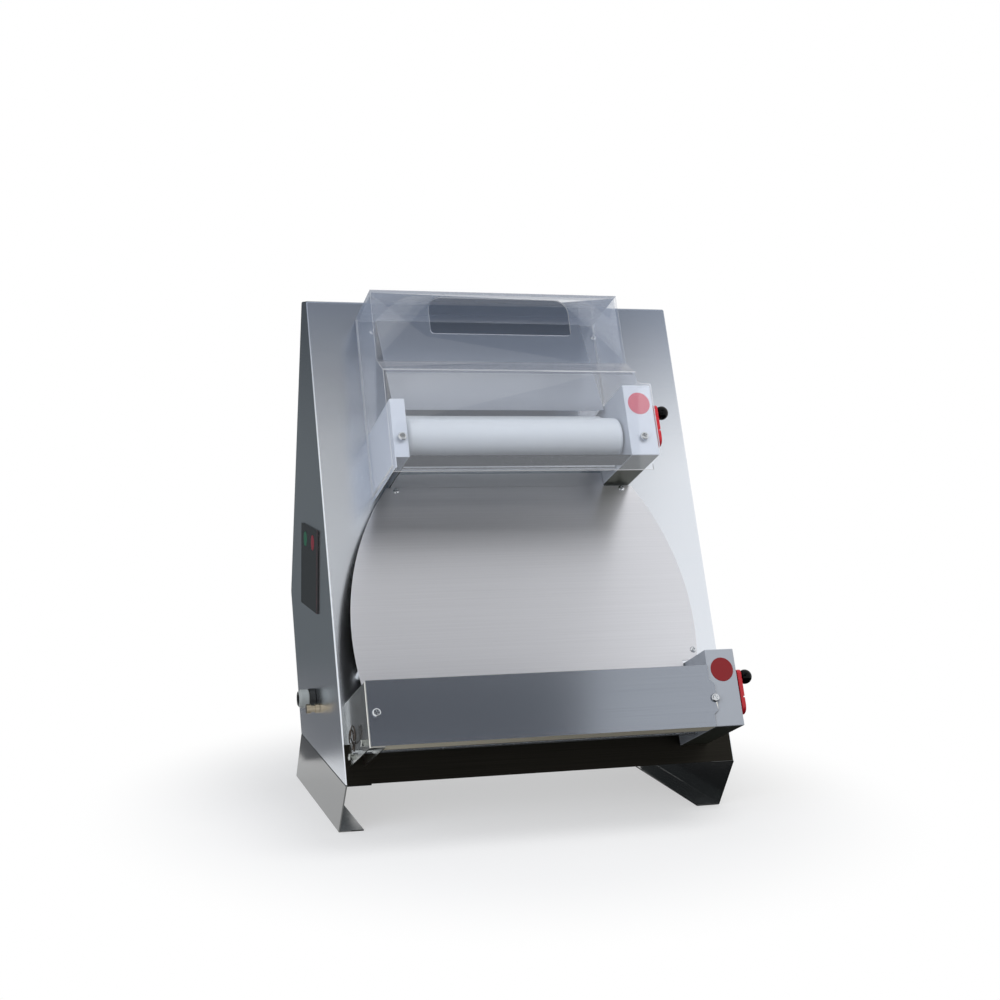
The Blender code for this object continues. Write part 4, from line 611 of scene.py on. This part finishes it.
# Both discs are the same red print: the upper one is coloured lighter and pinker, a painted sheen of the hood in front
# of it, and the lower one darker, painted shade.
upper_print_painted_sheen = satin_paint("rose_red_film_painted_hood_sheen", "#D2576C", "#C94D62", rough=0.42)
lower_print_painted_shade = satin_paint("red_film_painted_shade", "#92101A", "#870E17", rough=0.42)
for name, x, up, red_print in (
    ("upper_red_mark", 0.1589, 0.4924, upper_print_painted_sheen),
    ("lower_red_mark", 0.2225, 0.1032, lower_print_painted_shade),
):
    profile = [(0, MARK_THICKNESS), (MARK_RADIUS - MARK_THICKNESS, MARK_THICKNESS), (MARK_RADIUS, 0), (0, 0)]
    turn = PANEL @ Matrix.Translation((x, -0.12655, up)) @ Matrix.Rotation(math.pi / 2, 4, "X")
    bm = turned_bmesh(profile, "Z", turn, 64)
    place_piece(bm, name, red_print, "machine")


# Rollers: thick tubes of white food grade plastic, turned, with well rounded rims, pushed over steel shafts.
# The plastic lets a little light in and has very faint turning lines.

def roller_plastic():
    material, tree, output = bare_material("white_acetal_roller")
    place = add_node(tree, "ShaderNodeTexCoord")
    lines = add_node(
        tree, "ShaderNodeMapping", {"Vector": place.outputs["Object"], "Scale": (700, 8, 8)}
    )
    cuts = add_node(tree, "ShaderNodeTexNoise", {"Vector": lines.outputs["Vector"], "Scale": 1.0, "Detail": 2.0})
    tone = add_node(
        tree,
        "ShaderNodeMix",
        {"Factor": cuts.outputs["Fac"], "A": linear("#DDE2E6"), "B": linear("#E8ECEE")},
        data_type="RGBA",
    )
    gloss = add_node(
        tree, "ShaderNodeMapRange", {"Value": cuts.outputs["Fac"], "To Min": 0.28, "To Max": 0.38}
    )
    bump = add_node(tree, "ShaderNodeBump", {"Height": cuts.outputs["Fac"], "Strength": 0.03, "Distance": 0.0002})
    plastic = add_node(
        tree,
        "ShaderNodeBsdfPrincipled",
        {
            "Base Color": tone.outputs["Result"],
            "Roughness": gloss.outputs["Result"],
            "IOR": 1.48,
            "Subsurface Weight": 0.15,
            "Subsurface Radius": (0.004, 0.004, 0.004),
            "Subsurface Scale": 1.0,
            "Normal": bump.outputs["Normal"],
        },
    )
    tree.links.new(plastic.outputs[0], output.inputs["Surface"])
    return material


acetal = roller_plastic()
RIM_RADIUS = 0.007
BORE_RADIUS = 0.0078


def axis_of(node):
    """Middle of a turned node in depth and height, its radius and its two ends."""
    low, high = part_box(node)
    return (low.y + high.y) / 2, (low.z + high.z) / 2, (high.z - low.z) / 2, low.x, high.x


def along_x(y, z):
    """Places a piece turned about Z so that its axis runs along X."""
    return Matrix.Translation((0, y, z)) @ Matrix.Rotation(math.pi / 2, 4, "Y")


for level in ("upper", "lower"):
    for part in ("front", "rear"):
        y, z, radius, start, end = axis_of(f"{level}_{part}_roller")
        corner = radius - RIM_RADIUS
        rims = [math.radians(90 * i / 8) for i in range(9)]
        profile = [(BORE_RADIUS, end)]
        profile += [(corner + RIM_RADIUS * math.sin(a), end - RIM_RADIUS + RIM_RADIUS * math.cos(a)) for a in rims]
        profile += [
            (corner + RIM_RADIUS * math.cos(a), start + RIM_RADIUS - RIM_RADIUS * math.sin(a)) for a in rims
        ]
        profile += [(BORE_RADIUS, start), (BORE_RADIUS, end)]
        bm = turned_bmesh(profile, "Z", along_x(y, z), 96)
        name = f"{level}_{part}_turned_roller"
        place_piece(bm, name, acetal, f"{level}_{part}_roller", (f"{level}_{part}_roller",))


# Shafts, gears, bearing blocks and cranks inside the gear cases: machined steel, lightly oiled.

for level in ("upper", "lower"):
    refinish(
        machined,
        *[f"{level}_{part}" for part in ("front_shaft", "rear_shaft", "front_gear", "rear_gear", "drive_gear")],
        *[f"{level}_{part}" for part in ("drive_shaft", "crank_shaft")],
    )
    refinish(bright_turned, f"{level}_left_block", f"{level}_right_block")


# Gap levers: flat red painted steel, one for each pair, with a groove across the face above the hub.

red_gloss = satin_paint("red_gloss_paint", "#D81F30", "#C71828", rough=0.24)
for level in ("upper", "lower"):
    bm = merged_copy(level + "_lever", level + "_red_lever")
    soften(bm, 0, 0.0007)
    place_piece(bm, level + "_red_lever", red_gloss, level + "_gap_lever", (level + "_lever",))


# Ball knobs: gloss black moulded balls screwed to the levers, with a small flat where they seat.

def gloss_black(name, light, dark, rough=0.08, index=1.5):
    material, tree, output = bare_material(name)
    place = add_node(tree, "ShaderNodeTexCoord")
    cloud = add_node(tree, "ShaderNodeTexNoise", {"Vector": place.outputs["Object"], "Scale": 120.0, "Detail": 2.0})
    tone = add_node(
        tree,
        "ShaderNodeMix",
        {"Factor": cloud.outputs["Fac"], "A": linear(dark), "B": linear(light)},
        data_type="RGBA",
    )
    gloss = add_node(
        tree, "ShaderNodeMapRange", {"Value": cloud.outputs["Fac"], "To Min": rough, "To Max": rough + 0.06}
    )
    plastic = add_node(
        tree,
        "ShaderNodeBsdfPrincipled",
        {"Base Color": tone.outputs["Result"], "Roughness": gloss.outputs["Result"], "IOR": index},
    )
    tree.links.new(plastic.outputs[0], output.inputs["Surface"])
    return material


knob_black = gloss_black("black_phenolic_knob", "#050506", "#020203", 0.04, 1.22)
KNOB_RADIUS = 0.010
KNOB_FLAT = 0.004
for level in ("upper", "lower"):
    y, z, radius, start, end = axis_of(level + "_knob")
    low = math.acos(KNOB_FLAT / KNOB_RADIUS)
    middle = end - KNOB_RADIUS
    angles = [math.pi / 2 - (math.pi / 2 + low) * i / 24 for i in range(25)]
    profile = [(KNOB_RADIUS * math.cos(a), middle + KNOB_RADIUS * math.sin(a)) for a in angles]
    profile = [(0, middle + KNOB_RADIUS)] + profile[1:] + [(0, profile[-1][1])]
    bm = turned_bmesh(profile, "Z", along_x(y, z), 48)
    place_piece(bm, level + "_ball_knob", knob_black, level + "_gap_lever", (level + "_knob",))


# Scrapers: a steel rod with a thin blade that lies close under the front roller and lifts dough from it.

scraper_steel = turned_steel("scraper_strip_steel", "#D2D6DA", "#BDC2C8", rough=(0.2, 0.3))
refinish(scraper_steel, "upper_scraper", "lower_scraper")


# Scraper spring: zinc plated round wire in two loops on the lower left bracket. One leg rests by the bolt
# and the other hooks behind the scraper's rod, which it turns towards the roller.

WIRE_RADIUS = 0.0009
LOOP_RADIUS = 0.0095
LOOP_STEP = 0.0026
LOOP_UP = 0.057
LEG = 0.0180


def spring_centre_line():
    x = -0.273 - 0.0003 - WIRE_RADIUS
    points = []
    steps = 48
    for i, (middle, start, end) in enumerate(
        ((0.036, -math.pi / 4, 1.5 * math.pi), (0.060, -math.pi / 2, 1.25 * math.pi))
    ):
        for j in range(steps + 1):
            a = start + (end - start) * j / steps
            along = x - LOOP_STEP * (i + j / steps)
            points.append((along, middle + LOOP_RADIUS * math.cos(a), LOOP_UP + LOOP_RADIUS * math.sin(a)))
    first, last = points[0], points[-1]
    leg = LEG * math.cos(math.pi / 4)
    hook = 0.0875 - 0.0255 + 0.003 + 0.0003 + WIRE_RADIUS
    points.insert(0, (first[0], first[1] - leg, first[2] - leg))
    points += [(last[0], last[1] + leg, last[2] - leg), (last[0], hook, 0.0645 - 0.0325)]
    return [PANEL @ Vector((x, -out, up)) for x, out, up in points]


def wire_mesh(name, points, radius):
    curve = bpy.data.curves.new(name, "CURVE")
    curve.dimensions = "3D"
    curve.bevel_depth = radius
    curve.bevel_resolution = 4
    curve.use_fill_caps = True
    spline = curve.splines.new("POLY")
    spline.points.add(len(points) - 1)
    for point, place in zip(spline.points, points):
        point.co = (*place, 1)
    guide = bpy.data.objects.new(name, curve)
    SCENE.collection.objects.link(guide)
    bpy.context.view_layer.update()
    mesh = bpy.data.meshes.new_from_object(guide.evaluated_get(bpy.context.evaluated_depsgraph_get()))
    bpy.data.objects.remove(guide)
    bm = bmesh.new()
    bm.from_mesh(mesh)
    bmesh.ops.remove_doubles(bm, verts=bm.verts, dist=0.000001)
    bmesh.ops.recalc_face_normals(bm, faces=bm.faces)
    return bm


# The wire is coloured dark brown.
zinc_wire = turned_steel("dark_brown_spring_wire", "#5A524C", "#3A3430", rough=(0.2, 0.34))
bm = wire_mesh("scraper_wire", spring_centre_line(), WIRE_RADIUS)
place_piece(bm, "wound_scraper_spring", zinc_wire, "machine", ("scraper_spring",))


# Infeed plate: a straight stainless chute from the top of the panel down to the upper rollers.

# The chute's colour is darker than the body's and darkens further towards the top: painted shade and reflection under
# the hood.
chute_sheet = stainless("brushed_stainless_chute", "#AEB5C1", "#A7AEBB", rough=(0.3, 0.36), fade=(0.74, 0.56, "#878F9C"))
bm = merged_copy("infeed_plate", "infeed_chute")
soften(bm, 0, EDGE_BREAK)
place_piece(bm, "infeed_chute", chute_sheet, "machine", ("infeed_plate",))


# Hood: clear polycarbonate sheet, 3 mm thick, folded hot into a box over the infeed with a lower front plate.
# The sheet is a thin bright veil with a sharp gloss, whiter on the front plate as a painted reflection.
# Its sawn edges and rounded folds take a whiter veil, the folds' as a painted highlight; its top takes a grey veil, a
# painted reflection, and the level faces of its jog a grey veil, painted shade.

def clear_sheet(name, tint, veil, edge_veil, rough, index, most_gloss):
    """Clear sheet: mostly see-through, with a faint veil and a mirror gloss that grows at a slant."""
    material, tree, output = bare_material(name)
    place = add_node(tree, "ShaderNodeTexCoord")
    swell = add_node(tree, "ShaderNodeTexNoise", {"Vector": place.outputs["Object"], "Scale": 14.0, "Detail": 1.0})
    bump = add_node(tree, "ShaderNodeBump", {"Height": swell.outputs["Fac"], "Strength": 0.05, "Distance": 0.0006})
    slant = add_node(tree, "ShaderNodeLayerWeight", {"Blend": 0.35, "Normal": bump.outputs["Normal"]})
    body = add_node(
        tree,
        "ShaderNodeMapRange",
        {"Value": slant.outputs["Facing"], "To Min": veil, "To Max": edge_veil},
    )
    sheet = add_node(
        tree,
        "ShaderNodeBsdfPrincipled",
        {
            "Base Color": linear(tint),
            "Roughness": rough,
            "IOR": 1.585,
            "Alpha": body.outputs["Result"],
            "Normal": bump.outputs["Normal"],
        },
    )
    gloss = add_node(
        tree, "ShaderNodeBsdfGlossy", {"Color": linear("#FFFFFF"), "Roughness": 0.02, "Normal": bump.outputs["Normal"]}
    )
    bounce = add_node(tree, "ShaderNodeFresnel", {"IOR": index, "Normal": bump.outputs["Normal"]})
    shine = add_node(tree, "ShaderNodeMath", {0: bounce.outputs[0], 1: most_gloss}, operation="MINIMUM")
    surface = add_node(
        tree, "ShaderNodeMixShader", {0: shine.outputs[0], 1: sheet.outputs[0], 2: gloss.outputs[0]}
    )
    path = add_node(tree, "ShaderNodeLightPath")
    through = add_node(tree, "ShaderNodeBsdfTransparent", {"Color": linear("#F4F6FA")})
    lit = add_node(
        tree, "ShaderNodeMixShader", {0: path.outputs["Is Shadow Ray"], 1: surface.outputs[0], 2: through.outputs[0]}
    )
    tree.links.new(lit.outputs[0], output.inputs["Surface"])
    return material


clear_box = clear_sheet("clear_polycarbonate", "#D6E2F6", 0.04, 0.26, 0.05, 1.4, 0.10)
clear_front = clear_sheet("clear_front_painted_reflection", "#F4F8FF", 0.07, 0.16, 0.05, 1.4, 0.10)
hood_edges = clear_sheet("clear_edges_painted_fold_highlight", "#FFFFFF", 0.50, 0.80, 0.25, 2.2, 0.45)
clear_top = clear_sheet("clear_top_painted_reflection", "#929CAC", 0.62, 0.80, 0.12, 1.3, 0.08)
clear_jog = clear_sheet("clear_jog_painted_shade", "#7C828E", 0.50, 0.70, 0.12, 1.3, 0.08)
red_seal = gloss_black("dark_red_edge_seal", "#5A1A24", "#48141C", 0.4)
HOOD_WALL_LEFT = -0.2095
JOG_UP, JOG_OUT, JOG_RAISE = 0.550, 0.097, 0.0115
HOOD_TOP_INSIDE = 0.668
bm = merged_copy("hood", "folded_hood")
to_panel = PANEL.inverted()
raised = PANEL.to_3x3() @ Vector((0, 0, JOG_RAISE))
for vert in bm.verts:
    place = to_panel @ vert.co
    if abs(place.z - JOG_UP) < 0.011 and abs(-place.y - JOG_OUT) < 0.004:
        vert.co += raised
soften(bm, 0.0028, 0.0003, rim=0.006)
for face in bm.faces:
    middle = to_panel @ face.calc_center_median()
    if middle.x < HOOD_WALL_LEFT + 0.0031 and middle.y > -0.0012:
        face.material_index = 3
    elif face_width(face) < 0.0036:
        face.material_index = 1
    elif middle.y < -0.120:
        face.material_index = 2
    elif middle.z > HOOD_TOP_INSIDE:
        face.material_index = 4
    elif abs((to_panel.to_3x3() @ face.normal).z) > 0.5 and middle.y < -JOG_OUT + 0.002:
        face.material_index = 5
    else:
        face.material_index = 0
hood_piece = place_piece(bm, "folded_hood", clear_box, "machine", ("hood",))
for finish in (hood_edges, clear_front, red_seal, clear_top, clear_jog):
    hood_piece.data.materials.append(finish)


# Guard under the upper front roller: a thin steel sheet between the end bracket and the gear case.
# It hides the foot of the roller, and its near-black colour is painted shade below the hood.

GUARD_SHEET = 0.0010
guard_steel = stainless("guard_steel_painted_shade", "#23261F", "#1D201A", rough=(0.35, 0.45))
bm = bmesh.new()
bmesh.ops.create_cube(bm, size=1)
GUARD_BACK, GUARD_FRONT, GUARD_UP = 0.086, 0.1262, 0.4146
span = case_low.x - bracket_high.x - 0.0016
bmesh.ops.scale(bm, vec=(span, GUARD_FRONT - GUARD_BACK, GUARD_SHEET), verts=bm.verts)
middle_x = (case_low.x + bracket_high.x) / 2 - PANEL.translation.x
place = PANEL @ Matrix.Translation((middle_x, -(GUARD_FRONT + GUARD_BACK) / 2, GUARD_UP))
bmesh.ops.transform(bm, matrix=place, verts=bm.verts)
soften(bm, 0, 0.0002)
place_piece(bm, "upper_roller_guard", guard_steel, "machine")


# Front cover: a brushed stainless plate over the lower rollers, darker than the body, with a hem below
# and a tab with rounded steps over the gear case, where its right screw goes.

front_sheet = stainless("brushed_stainless_cover", "#9CA2AC", "#959BA5", rough=(0.26, 0.27), grain=1.0, length=260, bite=0.006)
bm = merged_copy("front_cover", "hemmed_cover")
soften(bm, 0, 0.0007)
for face in bm.faces:
    if face_width(face) < 0.0012:
        face.material_index = 1
    elif face.normal.z < -0.85:
        face.material_index = 2
cover_piece = place_piece(bm, "hemmed_cover", front_sheet, "machine", ("front_cover",))
# Its narrow edge faces take a near-white steel: a painted highlight along the edges.
cover_piece.data.materials.append(turned_steel("cut_edge_painted_highlight", "#F4F3EE", "#E6E4DC", rough=(0.3, 0.4)))
# The downward faces of its hem are coloured pale cream.
cover_piece.data.materials.append(satin_paint("pale_cream_hem_tone", "#E8E2CE", "#DAD3BC", rough=0.5))


# Screws of the hood and the cover: bright plated pan heads with a cross recess.

PAN_RADIUS = 0.006
PAN_RISE = 0.0035
RECESS_HALF = 0.0033
RECESS_WIDTH = 0.0013
RECESS_DEPTH = 0.0018


def pan_screw(name, x, out, up, length, node):
    profile = [(0, -length), (0.002, -length), (0.002, 0), (PAN_RADIUS - 0.0003, 0), (PAN_RADIUS, 0.0004)]
    crown = PAN_RADIUS - 0.0026
    for i in range(1, 8):
        a = math.radians(90 * i / 7)
        profile.append((crown + 0.0026 * math.cos(a), 0.0009 + (PAN_RISE - 0.0009) * math.sin(a)))
    profile.append((0, PAN_RISE))
    turn = PANEL @ Matrix.Translation((x, -out, up)) @ Matrix.Rotation(math.pi / 2, 4, "X")
    bm = turned_bmesh(profile, "Z", turn, 40)
    head = place_piece(bm, name, bright_turned, "machine", (node,))
    recess = bmesh.new()
    for size in ((RECESS_HALF, RECESS_WIDTH / 2), (RECESS_WIDTH / 2, RECESS_HALF)):
        slab = bmesh.ops.create_cube(recess, size=2)
        bmesh.ops.scale(recess, vec=(*size, RECESS_DEPTH), verts=slab["verts"])
    bmesh.ops.rotate(recess, matrix=Matrix.Rotation(math.radians(28), 3, "Z"), verts=recess.verts)
    bmesh.ops.translate(recess, vec=(0, 0, PAN_RISE + 0.0003), verts=recess.verts)
    bmesh.ops.transform(recess, matrix=turn, verts=recess.verts)
    mesh = bpy.data.meshes.new(name + "_recess")
    recess.to_mesh(mesh)
    recess.free()
    tool = bpy.data.objects.new(name + "_recess", mesh)
    SCENE.collection.objects.link(tool)
    cut = head.modifiers.new("recess", "BOOLEAN")
    cut.operation = "DIFFERENCE"
    cut.solver = "EXACT"
    cut.use_self = True
    cut.object = tool
    head.modifiers.move(1, 0)
    bpy.context.view_layer.update()
    shaped = bpy.data.meshes.new_from_object(head.evaluated_get(bpy.context.evaluated_depsgraph_get()))
    head.modifiers.clear()
    head.data = shaped
    bpy.data.objects.remove(tool)


HOOD_FACE = 0.1265 + 0.0008 + 0.003 + 0.0003
COVER_FACE = 0.1265 + 0.0005 + 0.0015 + 0.0003
for name, x, out, up, length in (
    ("hood_screw_left", -0.1922, HOOD_FACE, 0.441, 0.0058),
    ("hood_screw_right", 0.1582, HOOD_FACE, 0.441, 0.0058),
    ("cover_screw_left", -0.2609, COVER_FACE, 0.068, 0.004),
    ("cover_screw_right", 0.2053, COVER_FACE, 0.0643, 0.004),
):
    pan_screw("pan_" + name, x, out, up, length, name)


# Control panel: a black film over a flat plate on the left side, with a thin red border at its front edge.
# The green and the red key are plain domes in the film.

def bordered_film(name, light, dark, border, start, end):
    """Black printed film with a thin coloured border, given by its two depths along Y."""
    material = gloss_black(name, light, dark, rough=0.22)
    tree = material.node_tree
    film = tree.nodes["Principled BSDF"]
    black = film.inputs["Base Color"].links[0].from_socket
    place = add_node(tree, "ShaderNodeTexCoord")
    parts = add_node(tree, "ShaderNodeSeparateXYZ", {"Vector": place.outputs["Object"]})
    inside = add_node(tree, "ShaderNodeMath", {0: parts.outputs["Y"], 1: start}, operation="GREATER_THAN")
    outside = add_node(tree, "ShaderNodeMath", {0: parts.outputs["Y"], 1: end}, operation="LESS_THAN")
    line = add_node(tree, "ShaderNodeMath", {0: inside.outputs[0], 1: outside.outputs[0]}, operation="MULTIPLY")
    print_tone = add_node(
        tree,
        "ShaderNodeMix",
        {"Factor": line.outputs[0], "A": black, "B": linear(border)},
        data_type="RGBA",
    )
    tree.links.new(print_tone.outputs["Result"], film.inputs["Base Color"])
    return material


film_low, film_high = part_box("control_panel")
panel_black = bordered_film("black_polyester_film", "#151618", "#101113", "#6A2430", film_low.y + 0.0004, film_low.y + 0.0018)
bm = merged_copy("control_panel", "film_panel")
soften(bm, 0, 0.0003)
place_piece(bm, "film_panel", panel_black, "machine", ("control_panel",))
green_key = satin_paint("green_key_film", "#1C6A4C", "#165C41", rough=0.35)
red_key = satin_paint("red_key_film", "#9A2438", "#8A1E30", rough=0.35)
for node, material, slot in (("start_key", green_key, "green_key"), ("stop_key", red_key, "red_key")):
    bm = merged_copy(node, node + "_dome")
    soften(bm, 0, 0.0002)
    place_piece(bm, node + "_dome", material, node, (node,))


# Cable gland and equipotential terminal on the left side: grey moulded nylon, and nickel plated brass.

def moulded_nylon(name, light, dark):
    material, tree, output = bare_material(name)
    place = add_node(tree, "ShaderNodeTexCoord")
    grit = add_node(tree, "ShaderNodeTexNoise", {"Vector": place.outputs["Object"], "Scale": 1400.0, "Detail": 2.0})
    tone = add_node(
        tree,
        "ShaderNodeMix",
        {"Factor": grit.outputs["Fac"], "A": linear(dark), "B": linear(light)},
        data_type="RGBA",
    )
    bump = add_node(tree, "ShaderNodeBump", {"Height": grit.outputs["Fac"], "Strength": 0.2, "Distance": 0.0001})
    nylon = add_node(
        tree,
        "ShaderNodeBsdfPrincipled",
        {"Base Color": tone.outputs["Result"], "Roughness": 0.45, "IOR": 1.53, "Normal": bump.outputs["Normal"]},
    )
    tree.links.new(nylon.outputs[0], output.inputs["Surface"])
    return material


grey_nylon = moulded_nylon("grey_moulded_nylon", "#CDD3D1", "#BFC5C3")
refinish(grey_nylon, "electronics_box")
gland_low, gland_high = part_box("cable_gland")
body_low, body_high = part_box("body_shell")
COLLAR_REACH = 0.0082
BORE_RADIUS = 0.0070
bm = merged_copy("cable_gland", "moulded_gland")
soften(bm, 0, 0.0004)
axis_y, axis_z = (gland_low.y + gland_high.y) / 2, (gland_low.z + gland_high.z) / 2
# The collar at the wall and the bore at the outer end are coloured near black.
for face in bm.faces:
    middle = face.calc_center_median()
    in_collar = middle.x > body_low.x - COLLAR_REACH
    in_bore = math.hypot(middle.y - axis_y, middle.z - axis_z) < BORE_RADIUS
    face.material_index = 1 if in_collar or in_bore else 0
gland_piece = place_piece(bm, "moulded_gland", grey_nylon, "machine", ("cable_gland",))
gland_piece.data.materials.append(moulded_nylon("near_black_gland_collar_and_bore", "#1C2022", "#15181A"))
terminal_nickel = turned_steel("aged_nickel_terminal", "#C0B49A", "#94897A", rough=(0.14, 0.26))
refinish(terminal_nickel, "equipotential_terminal")


# Drive inside the body: a grey painted gear motor, steel pulleys, black rubber belts and folded carriers.

motor_paint = satin_paint("grey_motor_enamel", "#5A6066", "#4F555B", rough=0.4)
belt_rubber = moulded_nylon("black_belt_rubber", "#26262A", "#1B1B1E")
refinish(motor_paint, "motor")
refinish(machined, "motor_pulley")
refinish(belt_rubber, "motor_belt", "transfer_belt")
refinish(cover_sheet, "upper_shaft_carrier", "lower_shaft_carrier")
